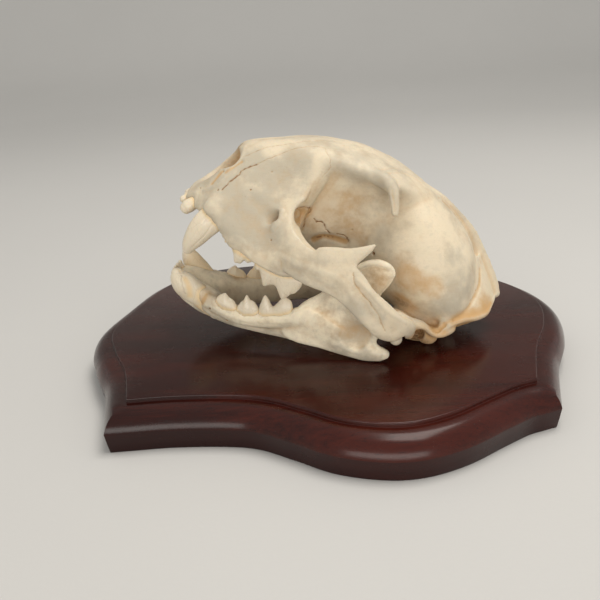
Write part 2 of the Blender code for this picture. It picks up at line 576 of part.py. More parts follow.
def make_cranium():
    """The cranium and its two cheek arches, in the cranium's own frame."""
    face = symmetric_loft("face", FACE)
    middle = symmetric_loft("middle", MIDDLE)
    dome = symmetric_loft("dome", DOME)
    nape = nape_plate()
    base = bar("base_of_skull", BASE_OF_SKULL)
    masses = [face, middle, dome, nape, base]
    details = [bar("sagittal_crest", SAGITTAL_CREST)]
    for side in (-1, 1):
        ridge = bar("alveolar_ridge", ALVEOLAR_RIDGE, side)
        root = bar("arch_root", ARCH_ROOT, side)
        arch = bar("arch", ARCH, side)
        brow = bar("postorbital_process", POSTORBITAL_PROCESS, side)
        masses += [ridge, root, ball("bulla", BULLA, side), ball("condyle_of_nape", CONDYLE_OF_NAPE, side)]
        details += [
            arch, brow, ball("mastoid", MASTOID, side),
            bar("cheek_process", CHEEK_PROCESS, side),
            bar("pterygoid", PTERYGOID, side, corners=10),
            bar("postglenoid", POSTGLENOID, side, corners=10),
            bar("paroccipital", PAROCCIPITAL, side, corners=10),
            bar("suprameatal_crest", SUPRAMEATAL_CREST, side),
        ]
        carve([face, middle, root, arch, ridge, brow], ball("eye_socket", EYE_SOCKET, side))
        carve([face, middle, root, ridge], bar("canal", CANAL, side))
    carve([face, middle], bar("nose", NOSE))
    carve([middle, dome, base], ball("throat", THROAT))
    carve([dome, nape, base], ball("spine_opening", SPINE_OPENING))
    core = blended("core", masses, CORE_VOXEL, CORE_SOFTENING)
    whole = grown_together("cranium", [core, *details], 4, CRANIUM_TRIANGLES + 2 * ARCH_TRIANGLES)
    for side in (-1, 1):
        carve([whole], ball("ear_opening", EAR_OPENING, side))
        carve([whole], jaw_socket(side))
        carve([whole], suture(FRONT_SUTURE, side))
        carve([whole], suture(REAR_SUTURE, side))
    cranium, left, right = separated(whole, ("cranium_bone", "cheek_arch_left", "cheek_arch_right"))
    return fused("cranium", cranium, upper_teeth()), left, right


def ramus(side):
    """The upright plate at the back of a jaw half."""
    rows = through(RAMUS_OUTLINE, 3, closed=True)
    rings = []
    for offset in (-RAMUS_THICKNESS / 2, RAMUS_THICKNESS / 2):
        rings.append([(x, side * (RAMUS_START[1] + RAMUS_SLOPE * (x - RAMUS_START[0])
                                 - RAMUS_LEAN * z + offset), z) for x, z in rows])
    return loft("ramus", rings)


def jaw_body(side):
    """The tooth-bearing bar of a jaw half."""
    corners = 20
    rings = []
    for x, inner, outer, bottom, top, lean in through(JAW_BODY, 3):
        middle = (inner + outer) / 2
        ring = []
        for corner in range(corners):
            turn = 2 * math.pi * corner / corners
            across = math.copysign(abs(math.cos(turn)) ** 0.75, math.cos(turn))
            rise = math.copysign(abs(math.sin(turn)) ** 0.85, math.sin(turn))
            y = middle + across * max((outer - inner - abs(lean) * 0.5) / 2, 0.6) + rise * lean / 2
            ring.append((x, side * max(y, inner), (bottom + top) / 2 + rise * (top - bottom) / 2))
        rings.append(ring)
    return loft("jaw_body", rings)


def make_jaw(name, side, canine):
    """One half of the lower jaw with its teeth, in the jaw's own frame."""
    pieces = [jaw_body(side), ramus(side), bar("jaw_condyle", JAW_CONDYLE, side)]
    carve(pieces[:2], ball("chewing_muscle", CHEWING_MUSCLE, side))
    bone = grown_together(name + "_bone", pieces, 6, JAW_TRIANGLES)
    teeth = [bar("lower_canine", canine, side, steps=2, corners=10)]
    for path in LOWER_INCISORS:
        teeth.append(bar("lower_incisor", path, side, steps=1, corners=8))
    for shape in LOWER_BLADES:
        teeth.append(blade("lower_blade", shape, side, 1))
    return fused(name, bone, teeth)


def offset_outline(points, distance):
    """A closed outline moved outwards by a distance, with mitred corners."""
    count = len(points)
    moved = []
    for index in range(count):
        before, here, after = points[index - 1], points[index], points[(index + 1) % count]
        first = (here - before) / np.linalg.norm(here - before)
        second = (after - here) / np.linalg.norm(after - here)
        normal = np.array((first[1] + second[1], -first[0] - second[0]))
        normal /= np.linalg.norm(normal)
        spread = normal @ np.array((first[1], -first[0]))
        moved.append(here + normal * distance / spread)
    return np.array(moved)


def make_plaque():
    """The board, lofted from its foot to the raised field."""
    front = through((LEFT_CORNER, *FRONT_EDGE, RIGHT_CORNER), 3)
    back = through((RIGHT_CORNER, *BACK_EDGE, LEFT_CORNER), 3)
    outline = np.concatenate((front[:-1], back[:-1])) - np.array(PLAQUE_CENTRE)
    edge = STEP_WIDTH + OVOLO_WIDTH
    band_top = BOARD_HEIGHT - STEP_HEIGHT - OVOLO_HEIGHT
    profile = [(edge - BAND_UNDERCUT - FOOT_CHAMFER, 0.0), (edge - BAND_UNDERCUT, FOOT_CHAMFER)]
    for step in range(5):
        turn = math.radians(90.0 * (1 - step / 4))
        profile.append((STEP_WIDTH + OVOLO_WIDTH * math.sin(turn), band_top + OVOLO_HEIGHT * math.cos(turn)))
    profile += [(0.2, BOARD_HEIGHT - STEP_HEIGHT), (0.0, BOARD_HEIGHT - 0.3), (-0.4, BOARD_HEIGHT)]
    rings = [[(x, y, z) for x, y in offset_outline(outline, out)] for out, z in profile]
    return loft("plaque", rings)


def finish(piece, colour, roughness):
    """Gives a piece its own plain material."""
    material = bpy.data.materials.new(piece.name)
    material.use_nodes = True
    shader = material.node_tree.nodes["Principled BSDF"]
    shader.inputs["Base Color"].default_value = (*colour, 1.0)
    shader.inputs["Roughness"].default_value = roughness
    shader.inputs["Metallic"].default_value = 0.0
    piece.data.materials.clear()
    piece.data.materials.append(material)
    piece.data.shade_smooth()
    piece.data.set_sharp_from_angle(angle=CREASE)


def lowest(pieces, pose):
    """The lowest height that posed pieces reach, in metres."""
    return min((pose @ vertex.co).z for piece in pieces for vertex in piece.data.vertices)


def place(pieces, location, tilt, pivot):
    """Poses bones on the board, their lowest point just clear of it."""
    x, y, z = (value * MM for value in location)
    spot = Vector((x - PLAQUE_CENTRE[0] * MM, y - PLAQUE_CENTRE[1] * MM, z + BOARD_HEIGHT * MM))
    pose = (Matrix.Translation(spot) @ Matrix.Rotation(SKULL_TURN, 4, "Z")
            @ Matrix.Rotation(tilt, 4, "Y") @ Matrix.Translation(-Vector(pivot) * MM))
    drop = (BOARD_HEIGHT + GAP) * MM - lowest(pieces, pose)
    for piece in pieces:
        piece.matrix_world = Matrix.Translation((0, 0, drop)) @ pose


def main():
    plaque = make_plaque()
    cranium, arch_left, arch_right = make_cranium()
    jaw_left = make_jaw("jaw_left", -1, BROKEN_CANINE)
    jaw_right = make_jaw("jaw_right", 1, LOWER_CANINE)
    place([cranium, arch_left, arch_right], CRANIUM_PLACE, CRANIUM_TILT, CRANIUM_PIVOT)
    place([jaw_left, jaw_right], JAW_PLACE, JAW_TILT, JAW_PIVOT)
    finish(plaque, MAHOGANY, 0.25)
    for piece, colour in ((cranium, IVORY), (arch_left, CREAM), (arch_right, CREAM),
                          (jaw_left, PALE_BONE), (jaw_right, PALE_BONE)):
        finish(piece, colour, 0.6)
    bpy.data.collections.remove(CUTTERS)


for item in list(bpy.data.objects):
    bpy.data.objects.remove(item)
PIECES = collection("mounted_cougar_skull")
CUTTERS = collection("cutters")
main()
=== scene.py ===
"""A cougar's skull on a moulded mahogany board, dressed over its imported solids.

Each bone is drawn in millimetres in its own frame, with +X to the rear, +Z up and its left side at -Y,
and is then posed on the board. The part's frame is in metres, with +Z up.
"""
import math

import bmesh
import bpy
import numpy as np
from bpy.props import FloatProperty, FloatVectorProperty, IntProperty, PointerProperty
from bpy.types import Operator, Panel, PropertyGroup
from mathutils import Matrix, Vector
from mathutils.bvhtree import BVHTree


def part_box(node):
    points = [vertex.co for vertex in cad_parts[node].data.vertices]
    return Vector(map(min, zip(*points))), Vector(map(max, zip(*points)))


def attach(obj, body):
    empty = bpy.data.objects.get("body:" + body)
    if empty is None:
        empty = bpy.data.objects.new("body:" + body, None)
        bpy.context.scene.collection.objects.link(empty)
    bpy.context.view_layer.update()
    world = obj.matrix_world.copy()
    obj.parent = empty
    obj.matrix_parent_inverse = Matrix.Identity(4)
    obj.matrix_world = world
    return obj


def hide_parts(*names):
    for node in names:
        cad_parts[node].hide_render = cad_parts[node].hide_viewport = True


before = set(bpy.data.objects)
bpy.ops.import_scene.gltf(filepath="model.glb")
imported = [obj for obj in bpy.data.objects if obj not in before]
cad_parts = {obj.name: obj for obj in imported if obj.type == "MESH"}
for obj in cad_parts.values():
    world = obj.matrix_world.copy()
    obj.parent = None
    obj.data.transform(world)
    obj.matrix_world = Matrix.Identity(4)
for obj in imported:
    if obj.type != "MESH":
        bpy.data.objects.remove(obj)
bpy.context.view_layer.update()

bl_info = {
    "name": "Mounted cougar skull",
    "version": (1, 0, 0),
    "blender": (4, 5, 0),
    "location": "3D View > Sidebar > Skull",
    "description": "Builds a cougar skull with its teeth and its moulded board",
    "category": "Object",
}

MM = 0.001
BOARD_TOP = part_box("plaque")[1].z
RESTING_GAP = 0.3 * MM
LEFT, RIGHT = -1, 1

# Board: the middle of its plan, the sharp front corners and the edge of its raised field.
PLAQUE_CENTRE = (17.5, 400)
LEFT_CORNER = (-94, 320)
RIGHT_CORNER = (122, 319)
BACK_EDGE = (
    (126, 332), (134.5, 357), (148, 385), (155, 413), (151, 438), (138, 460), (111, 487), (70, 507),
    (20, 516), (-30, 514), (-67, 506), (-95, 483), (-111, 442), (-120, 407), (-112, 377), (-101, 351),
)
FRONT_EDGE = (
    (-70, 321), (-40, 319), (-20, 314), (0, 302), (20, 289.5), (46, 284), (70, 290.5), (94, 305),
    (110, 314.5),
)

# Poses on the board: the turn of both about +Z, then each one's nose-up tilt, its pivot in its own frame
# and where the pivot comes to.
SKULL_TURN = math.radians(-3.5)
CRANIUM_POSE = (math.radians(30), (95, 0, 20), (28, 394.5, 55.6))
JAW_POSE = (math.radians(7.5), (0, 0, -14), (-66.8, 400.3, 0))

# Curves: steps between two of a table's points, corners of a bar's section, turns of its rounded ends and
# how steep a bar may be before its section is set up another way. Then the fineness of egg and trough shapes.
SPAN_STEPS = 8
BAR_CORNERS = 28
CAP_TURNS = tuple(math.radians(degrees) for degrees in (18, 36, 54, 72))
STEEP = 0.8
BALL_SEGMENTS = 40
BALL_RINGS = 24
TROUGH_SEGMENTS = 48

# Growing: grain of the details as a share of the core's, rounds of smoothing and their strength.
DETAIL_GRAIN = 0.65
CRANIUM_ROUNDS = 3
JAW_ROUNDS = 6
SKIN_ROUNDS = 3
TOOTH_ROUNDS = 2
SMOOTHING = 0.5

# Unevenness: sizes of the waves in millimetres, the fine ones' share of the depth, and where each bone's
# waves come from.
BROAD_WAVES = 16
FINE_WAVES = 3.5
FINE_SHARE = 0.3
WAVE_SHIFT = (0.37, 0.61, 0.83)
CRANIUM_SEED = 3
JAW_SEED = 11

# Painted masks, how far under or over the skin a stroke reaches, how much a seam wanders, and the rounds of
# averaging that measure hollows and even out a corner. The depths of fine and broad hollows, and of rubbed
# edges, are those of a full mask.
# The second mask holds stains and also painted shade deep in hollows; the fifth holds greyer bone and painted
# shade.
MASKS = ("line", "stain", "hollow", "rubbed", "grey_and_shade")
DEPTH_REACH = 2.5
WOBBLE = 0.2
STROKE_STEPS = 4
FINE_ROUNDS = 6
BROAD_ROUNDS = 40
CORNER_ROUNDS = 300
FINE_HOLLOW = 0.12
BROAD_HOLLOW = 0.9
HOLLOW_SHARE = 0.6
RUBBED_EDGE = 0.15

# Seam between a tooth and its socket, in millimetres, and how dark it is.
SEAT_REACH = 2.4
SEAM_WIDTH = 0.6
SEAM_DEPTH = 0.45
SEAM_SHADE = 0.85
RIM_HEIGHT = 0.3

# Board: fineness, how far the moulding's curve turns, and the heights of the painted shadow on its band.
# Its section is in millimetres, each point as (outwards, up): the foot's edge, the band's upper edge under
# the moulding, and the foot and the upper edge of the raised field.
BOARD_STEPS = 10
OVOLO_STEPS = 22
OVOLO_TURN = math.radians(74)
SHARP_EDGE = math.radians(38)
BAND_SHADOW_HEIGHTS = (11.2 * MM, 12.2 * MM)
BOARD_FOOT = ((-0.6, 0), (-0.17, 0.17), (0, 0.6))
BAND_TOP = (-0.12, -0.6)
FIELD_FOOT = ((0.9, -0.02), (0.35, 0.05), (0.12, 0.3))
FIELD_EDGE = ((0, -0.75), (-0.12, -0.3), (-0.35, -0.08), (-0.8, 0))

# Stage: the floor's sweep as (y, z), its half width, and the lights.
FLOOR_SWEEP = ((-1.6, 0), (-0.6, 0), (0.6, 0), (1.3, 0), (1.75, 0.1), (2.05, 0.45), (2.15, 1), (2.15, 2.4))
FLOOR_STEPS = 12
FLOOR_HALF_WIDTH = 2.6
WORLD_STRENGTH = 0.57
WORLD_COLOUR = (1, 0.985, 0.95, 1)
SUBJECT = (0, 0, 0.07)
KEY_PLACE = (0.3, -0.05, 1.2)
KEY_SIZE = (0.9, 0.6)
KEY_COLOUR = (1, 0.96, 0.9)
FILL_PLACE = (0, -1.4, 0.25)
FILL_SIZE = (1.6, 0.4)
FILL_COLOUR = (1, 0.97, 0.92)
SENSOR_WIDTH = 36
NEAREST_SEEN = 0.01

# Colours of the board's pores, of the painted shadow on its band and of the dust on it.
PORE_COLOUR = (0.006, 0.002, 0.002, 1)
PAINTED_BAND_SHADOW_COLOUR = (0.013, 0.001, 0.0005, 1)
DUST_COLOUR = (0.35, 0.31, 0.28, 1)

# Sections of the cranium's masses, front to back: x, the height of the middle of the top, four points
# (y, z) down the side and the height of the middle of the underside.
SECTIONS = {
    "face": (
        (1, 9, 5, 8.5, 9, 6.5, 10.5, 4, 8, 1.5, 2),
        (6, 18, 8, 17, 13, 12, 14.5, 6, 11.5, 1.5, 3),
        (12, 36, 8.5, 34.5, 15.5, 24, 21.5, 12, 20, 2.5, 4),
        (18, 45.5, 9, 43.5, 18, 31, 25.8, 15, 27, 3.5, 5),
        (26, 51.5, 11.5, 48.5, 20.5, 34, 27.4, 17, 29, 2, 6),
        (35, 57, 14, 53, 21.2, 38, 27.2, 20, 30, -1, 7),
        (45, 63, 16.5, 58.5, 22, 42, 29, 23, 33.4, -2.5, 7.5),
        (54, 67.5, 19, 62, 25, 46, 34.5, 24.5, 37, -3, 7.5),
        (61, 70, 21, 64.5, 27, 50, 38.5, 27, 40, -2.5, 7.5),
        (66, 71.5, 22, 65, 25, 53, 33, 27, 39, -1, 7.5),
    ),
    "middle": (
        (50, 64, 15, 60, 16, 48, 16, 30, 12, 10, 9),
        (62, 70, 22, 64.5, 19, 52, 15.5, 32, 12, 9, 8.5),
        (74, 74, 25.5, 66.5, 20, 54, 15, 32, 11.5, 8.5, 8.5),
        (86, 75.3, 29, 68.5, 20.5, 56, 14.5, 32, 11, 7.5, 8.5),
        (97, 75.3, 31, 69, 21, 57, 15, 33, 10.5, 6.5, 8),
        (106, 74.2, 27, 69, 21, 58, 17, 36, 10, 5.5, 7),
        (114, 73, 20.5, 67.8, 21, 54, 21, 34, 11, 6, 6),
        (123, 71.8, 12.5, 67.8, 18, 50, 18, 30, 11, 6, 5),
        (132, 69.8, 7, 65.5, 14, 48, 14, 30, 11, 6, 5),
    ),
    "dome": (
        (104, 64, 13, 59, 17.5, 46, 17, 30, 10, 14, 12),
        (110, 69, 17, 62, 21.5, 47, 21.5, 29, 12, 9, 7),
        (116, 70.8, 20, 63.5, 26.5, 47, 26.5, 27, 14, 6.5, 4.8),
        (123, 70.5, 22.5, 62.5, 31.5, 46, 31.5, 25, 16, 5, 3.5),
        (134, 68.5, 24.5, 60, 35.5, 43, 36, 22, 17, 4, 3),
        (146, 64, 25, 55.5, 36.5, 39, 37.5, 19, 18, 3, 3),
        (157, 58, 25, 50, 36, 35, 37.5, 19, 19, 3.5, 4),
        (165, 50.5, 21, 44, 33, 30.5, 35, 17.5, 20, 5, 5),
        (171, 42.5, 14, 38, 26, 29, 26.5, 19.5, 14, 8, 6),
        (175, 33, 7, 31, 13, 26.5, 13.5, 18.5, 8, 11, 9),
    ),
}
# Plate at the nape, as triangles at growing distances from the middle: y, then the (x, z) of the crest's
# edge, of its place on the dome's top and of its place on the underside.
NAPE = (
    (0, 192, 32.5, 168, 52, 177.5, 19),
    (7, 190.6, 31.2, 167, 50, 177, 18.5),
    (14, 188.6, 28.8, 165, 44.5, 175, 12.5),
    (22, 186.2, 25.6, 163, 38, 171, 8.5),
    (29, 180, 23, 159, 31, 166, 6.5),
    (35, 171.5, 20.2, 157, 22, 161, 6),
    (38.4, 165.2, 16, 160.5, 13, 159.5, 6.5),
    (41, 162, 12.8, 160.5, 11.4, 160, 9),
)
# Bars of bone, hollows and teeth: (x, y, z, half thickness, half depth) along each. A tooth's bar runs from
# its root to its tip.
BARS = {
    "sagittal_crest": (
        (118, 0, 69, 3, 3.5), (131, 0, 68, 1.8, 3.6), (144, 0, 64, 1.3, 4), (157, 0, 58.5, 1.1, 4.6),
        (168, 0, 51, 1.1, 4.8), (178, 0, 43.5, 1.2, 5), (186.5, 0, 37, 1.5, 4.6), (192, 0, 33, 2, 3),
    ),
    "postorbital_process": ((86, 20, 65, 8, 4.2), (94, 27, 67, 6, 4.2), (98, 31, 66.2, 4, 3.4)),
    "process_tip": (
        (84, 22, 66.6, 4.5, 2.8), (92, 28.6, 68.4, 4, 3.2), (98, 33.6, 66.2, 3, 3.2),
        (101.8, 35.8, 61.2, 2.3, 2.5), (105, 36.6, 56.2, 1.8, 1.9),
    ),
    "arch": (
        (58, 34.5, 15, 3, 9), (66, 42.3, 14.5, 4, 12.2), (76, 49.5, 14.6, 3.4, 12),
        (87, 55.2, 17, 2.8, 11.6), (97, 60, 17, 2.5, 10.6), (107, 63.2, 13.8, 2.4, 9),
        (118, 64, 10.5, 2.5, 9.2), (128, 61.5, 7, 3, 8.6), (135.6, 56.5, 6.4, 3.6, 7),
        (139.4, 49.5, 5.8, 5.4, 5.6), (139.5, 41, 4.4, 8.5, 3.6), (139, 32, 4.2, 9.5, 4),
    ),
    "arch_root": (
        (38, 19, 19, 4, 9), (48, 26, 18, 5.5, 12), (57, 33, 17, 6.4, 13.4), (66, 40.2, 16, 6, 13),
        (75, 47, 15.5, 4.2, 11.5), (80, 50.5, 15, 2, 8),
    ),
    "cheek_process": (
        (80, 52.3, 19, 2.6, 8), (89, 56.2, 26, 2.4, 7.2), (94, 57.8, 32.5, 2.1, 4.4),
        (97.6, 58.4, 38, 1.6, 2.5), (99.8, 58.4, 42.2, 0.8, 0.9),
    ),
    "alveolar_ridge": (
        (26.5, 27, 7, 2.6, 5), (33, 28, 2.2, 2.9, 5.2), (39, 29.6, 0, 3.2, 5.6), (46, 32, 0.8, 3.8, 6),
        (58, 37, 1.8, 4, 6.5), (68, 39.5, 3, 3.6, 6), (77, 39.5, 5.5, 2.6, 4.5),
    ),
    "pterygoid": (
        (84, 12, 8, 2.2, 5), (96, 10.5, 6, 1.5, 5.5), (106, 10, 4.5, 1.2, 5.5),
        (113.5, 10.8, 0.8, 0.8, 2.2),
    ),
    "postglenoid": ((143.5, 35, 3, 2, 4), (144.2, 42, 2.2, 2, 4.2), (144, 49.5, 4, 1.8, 3.2)),
    "paroccipital": ((160, 28, 8, 4, 5), (162, 27.5, 0, 3.2, 3.4), (162.5, 27, -3.6, 1.8, 1.8)),
    "suprameatal_crest": (
        (134, 45.5, 8.6, 4.5, 3), (143, 43.4, 8.4, 4.6, 2.2), (150, 40.8, 8.8, 4.6, 1.9),
        (157, 39, 7, 4.8, 1.9), (162, 37.4, 8.8, 4.6, 2.3), (166, 35.2, 13, 4, 3),
    ),
    "base_of_skull": (
        (100, 0, 8, 7, 4), (115, 0, 6, 8, 4), (135, 0, 5, 10, 4), (155, 0, 5, 10, 3), (171, 0, 5, 9, 2.4),
    ),
    # Swelling over the root of the upper canine, and the lip of the nape plate.
    "canine_root": ((20, 23.8, 8.6, 6.5, 8.1), (23.4, 22.4, 13.5, 5.8, 7.2), (27, 20.4, 18, 4.4, 5.6)),
    "nape_lip": (
        (190.4, 2, 32.4, 1.3, 1.5), (189.4, 7, 31, 1.3, 1.6), (187.4, 14, 28.5, 1.3, 1.6),
        (184.8, 21.5, 25.6, 1.3, 1.6), (178.8, 28.6, 23, 1.3, 1.6), (170.6, 34.4, 20, 1.3, 1.6),
        (164.6, 38, 15.4, 1.3, 1.7), (161.5, 39.2, 10.5, 1.4, 1.8),
    ),
    # Hollows: the nostrils, and the canal below the eye.
    "nose": (
        (-8, 0, 26, 11, 12.5), (6, 0, 27, 11.3, 13), (15, 0, 28.5, 11.4, 13.6), (26, 0, 30, 10.5, 12.5),
        (40, 0, 32, 8, 10), (54, 0, 34, 4, 6),
    ),
    "canal": (
        (38, 33.5, 20.5, 3, 4.4), (49, 31.5, 22.5, 3, 4.4), (60, 28.5, 25, 3.2, 4.4),
        (70, 26, 27, 3.2, 4.4),
    ),
    # Lower jaw.
    "tooth_row_ridge": (
        (9, 19, 17, 2.6, 4), (15, 20.6, 14.4, 3.2, 5), (22, 22.8, 12.4, 3.5, 5.2),
        (31, 25.6, 11, 3.7, 5.4), (42, 29, 12.2, 3.8, 5.4), (53, 31.8, 14.8, 3.9, 5.8),
        (61, 34.2, 17.4, 3.4, 5.4), (67, 36, 18.5, 2.6, 4.8),
    ),
    "jaw_condyle": (
        (116.8, 37.5, 19.5, 3.4, 3.6), (117.5, 46, 19.8, 4.2, 4.4), (117.5, 54.5, 19.5, 3.6, 3.8),
    ),
    # Teeth that are pegs. The left lower canine is broken.
    "upper_canine": (
        (30, 19.5, 20, 4, 5), (24.5, 22.5, 11, 5, 6.8), (19.9, 24.2, 3, 5.4, 7.7),
        (17.6, 24.8, -3, 5.2, 7.3), (16.2, 24.8, -9.5, 4.5, 6.2), (15.2, 24.2, -15.5, 3.4, 4.5),
        (15.2, 23.4, -19.6, 2.3, 2.9),
    ),
    "lower_canine": (
        (12, 12.5, 8, 4, 5), (5, 13.6, 15.5, 4.9, 6.6), (-2, 14.8, 22, 5.6, 7.4),
        (-5.6, 15.2, 27.4, 5, 6.2), (-7.8, 15.4, 32, 3.9, 4.6), (-8.4, 15.2, 36.6, 2.1, 2.4),
    ),
    "broken_canine": (
        (12, 12.5, 8, 4, 5), (5, 13.6, 15.5, 4.9, 6.6), (-3, 14.8, 22.2, 5.8, 7.6),
        (-6.8, 15.2, 26.2, 5.2, 6.6), (-8.8, 15.2, 29, 4.2, 5), (-9.4, 15, 30.4, 3, 3.6),
    ),
    "second_premolar": ((33, 27, 2, 1.3, 1.6), (32.6, 27.2, -1.5, 1.3, 1.6), (32.5, 27.2, -3.4, 0.7, 0.9)),
    "first_molar": ((77, 36.5, 4, 3.4, 2), (77.2, 36.5, -1, 3.6, 2.2), (77.4, 36.2, -3.2, 2.6, 1.3)),
    "inner_cusp": ((56, 31, 3, 2.6, 3), (56, 30.6, -2, 2.6, 2.8), (56, 30.4, -5.5, 1.4, 1.6)),
}
UPPER_INCISORS = (
    ((8, 2.4, 8, 1.4, 2), (3, 2.4, 3.6, 1.8, 2.1), (0.6, 2.4, 0.8, 1.9, 1.8)),
    ((8.5, 6.4, 8, 1.6, 2.2), (3.4, 6.8, 4, 2.1, 2.4), (0.6, 7.4, 1.2, 2.3, 2.2)),
    ((11, 11.2, 9, 2.6, 3.2), (7.4, 11.8, 4.2, 3.2, 3.6), (5, 12.4, 0.4, 3.8, 3.9),
     (4.2, 12.6, -1.2, 3.4, 3.5)),
)
LOWER_INCISORS = (
    ((-8, 2, 17.5, 1.1, 1.8), (-12.4, 2, 24.5, 1.2, 1.6), (-13.6, 2, 27.4, 1.1, 1)),
    ((-8, 4.6, 17.5, 1.2, 1.9), (-12, 4.6, 24.5, 1.3, 1.7), (-13, 4.6, 28, 1.3, 1.1)),
    ((-7, 7.6, 17.5, 1.3, 2), (-11, 7.6, 25, 1.6, 1.9), (-12, 7.8, 28.6, 1.5, 1.2)),
)
# Egg-shaped bones and hollows: centre, half sizes, turn about +Z in degrees.
BALLS = {
    "bulla": ((151, 22, 2.5), (15.5, 10.5, 11.5), -12),
    "mastoid": ((157, 35, 3), (6.5, 4.2, 5.8), 0),
    "condyle_of_nape": ((171.5, 11, 8.5), (6, 5.2, 7), 20),
    "eye_socket": ((86, 39.5, 43.2), (26.6, 24, 22.4), 0),
    "eye_pocket": ((74, 42, 33), (18, 22, 11.4), 0),
    "nasal_notch": ((9.5, 12, 38), (10.2, 9, 9), 10),
    "ear_opening": ((151, 36, 2), (4, 9, 3.6), 0),
    "throat": ((98, 0, 3.5), (17, 8.2, 9), 0),
    "spine_opening": ((174, 0, 13.5), (17, 9, 7), 0),
    "chewing_muscle": ((88, 50, 16), (18, 6, 12), -15),
}
# Thin plates of bone deep in the nose: (half side's y, its curl, top, bottom).
NOSE_PLATES = ((0, 0, 38, 19), (3.4, 1.6, 36, 24), (6.6, 1.4, 33.5, 22.5))
NOSE_PLATE_ENDS = (25, 50)
NOSE_PLATE_HALF = 0.75
# Trough of the jaw's hinge: its middle, then its radius, its whole length across and its radius.
JAW_SOCKET = (136.8, 45.3, 0)
JAW_SOCKET_SIZE = (4.9, 26.6, 4.9)

# One half of the lower jaw: (x, inner y, outer y, bottom, top, how far the top leans out), how blunt and
# how thin its section gets, and its upright plate, with its outline as (x, z).
JAW_BODY = (
    (-13.5, -0.2, 8, 17.5, 24, 0.8), (-8, -0.2, 14, 11.5, 26, 2.5), (0, -0.2, 18, 6.6, 25.5, 4.5),
    (8, -0.2, 20.5, 3.2, 22.5, 5.5), (15, 2, 21.5, 1, 20, 5), (22, 9.5, 23, 0.3, 16.8, 5),
    (31, 15, 26, 0, 15.8, 5), (42, 19, 30, 0.2, 16.4, 5), (53, 23.5, 33.5, 0.6, 19.5, 5),
    (62, 27.5, 36.5, 1, 23, 4.5), (72, 31.5, 40, 1.2, 24, 4), (82, 36, 43.5, 0.6, 20, 3),
    (94, 40.5, 47, 0, 14, 2), (104, 43.5, 49.5, 0.2, 10, 1), (112, 45.5, 50.5, 2, 8, 0.5),
)
RAMUS_OUTLINE = (
    (56, 5), (64, 24.5), (77, 36), (88, 48.5), (95, 55.5), (102, 59), (109, 58.5), (113.5, 54),
    (111.5, 46.5), (107.5, 40), (107, 32), (110.5, 26.5), (117, 22.5), (114, 18), (109.2, 15.4),
    (108.6, 11.8), (111.4, 10), (115.4, 8.8), (116.4, 6), (113.5, 2.8), (107, 1), (84, 1.5),
)
JAW_BLUNTNESS = (0.75, 0.85)
JAW_THINNEST = 0.6
RAMUS_THICKNESS = 3.6
RAMUS_START = (60, 33.5)
RAMUS_SLOPE = 0.27
RAMUS_LEAN = 0.06

# Teeth that are blades: half a section as (share of the half thickness, rise), with the crown's rise as a
# share of its height, then the gum line's two ends and (share of the length, half thickness, height).
BLADE_ROOT = ((0.72, -4), (0.86, -2), (1, -0.2))
BLADE_CROWN = ((1.02, 0.12), (0.92, 0.35), (0.74, 0.6), (0.45, 0.85), (0.12, 1))
UPPER_BLADES = (
    (((35.5, 28, -0.3), (50.8, 32.2, -2.8)),
     ((0, 1.5, 1.8), (0.12, 2.3, 4.6), (0.26, 2.9, 6.6), (0.4, 3.2, 9.8), (0.52, 3.2, 9), (0.62, 3.1, 8.2),
      (0.7, 3, 5.2), (0.84, 2.8, 5), (1, 1.8, 2))),
    (((51.6, 33, -2.6), (79.6, 41, -1)),
     ((0, 2, 2.4), (0.08, 2.8, 5.6), (0.16, 3, 5.2), (0.26, 3.4, 8.6), (0.36, 3.6, 11.8), (0.46, 3.3, 9.4),
      (0.56, 3.1, 8.4), (0.68, 3, 11), (0.79, 2.8, 13.6), (0.86, 2.6, 11.2), (0.9, 2.4, 8.4),
      (0.96, 2, 6.6), (1, 1.2, 3))),
)
LOWER_BLADES = (
    (((15.6, 21.6, 18.2), (28, 25, 15)),
     ((0, 1.5, 1.8), (0.14, 2.3, 4.2), (0.32, 2.8, 6.2), (0.42, 2.9, 6.8), (0.56, 2.8, 5.4),
      (0.76, 2.6, 4.8), (0.9, 2.2, 3.4), (1, 1.4, 1.6))),
    (((28.2, 25.2, 15), (41.2, 29.2, 15.8)),
     ((0, 1.5, 2.2), (0.14, 2.3, 5), (0.26, 2.7, 6.6), (0.36, 3.1, 9.6), (0.44, 3.1, 9.8),
      (0.56, 2.9, 7.4), (0.72, 2.8, 6.8), (0.86, 2.4, 4.8), (1, 1.6, 2))),
    (((41.4, 29.4, 16.2), (60.4, 34, 20.4)),
     ((0, 1.6, 5), (0.12, 2.6, 10.8), (0.24, 2.8, 8.8), (0.38, 2.7, 4), (0.5, 2.7, 5.4), (0.62, 2.9, 8.2),
      (0.72, 2.9, 9.4), (0.86, 2.6, 8.2), (0.95, 2.3, 6.2), (1, 1.4, 2.6))),
)


def pit(x, y, z, radius, depth, shade):
    """A small dark pit, as a stroke of one point."""
    return ((x, y, z),), radius, -depth, "line", shade


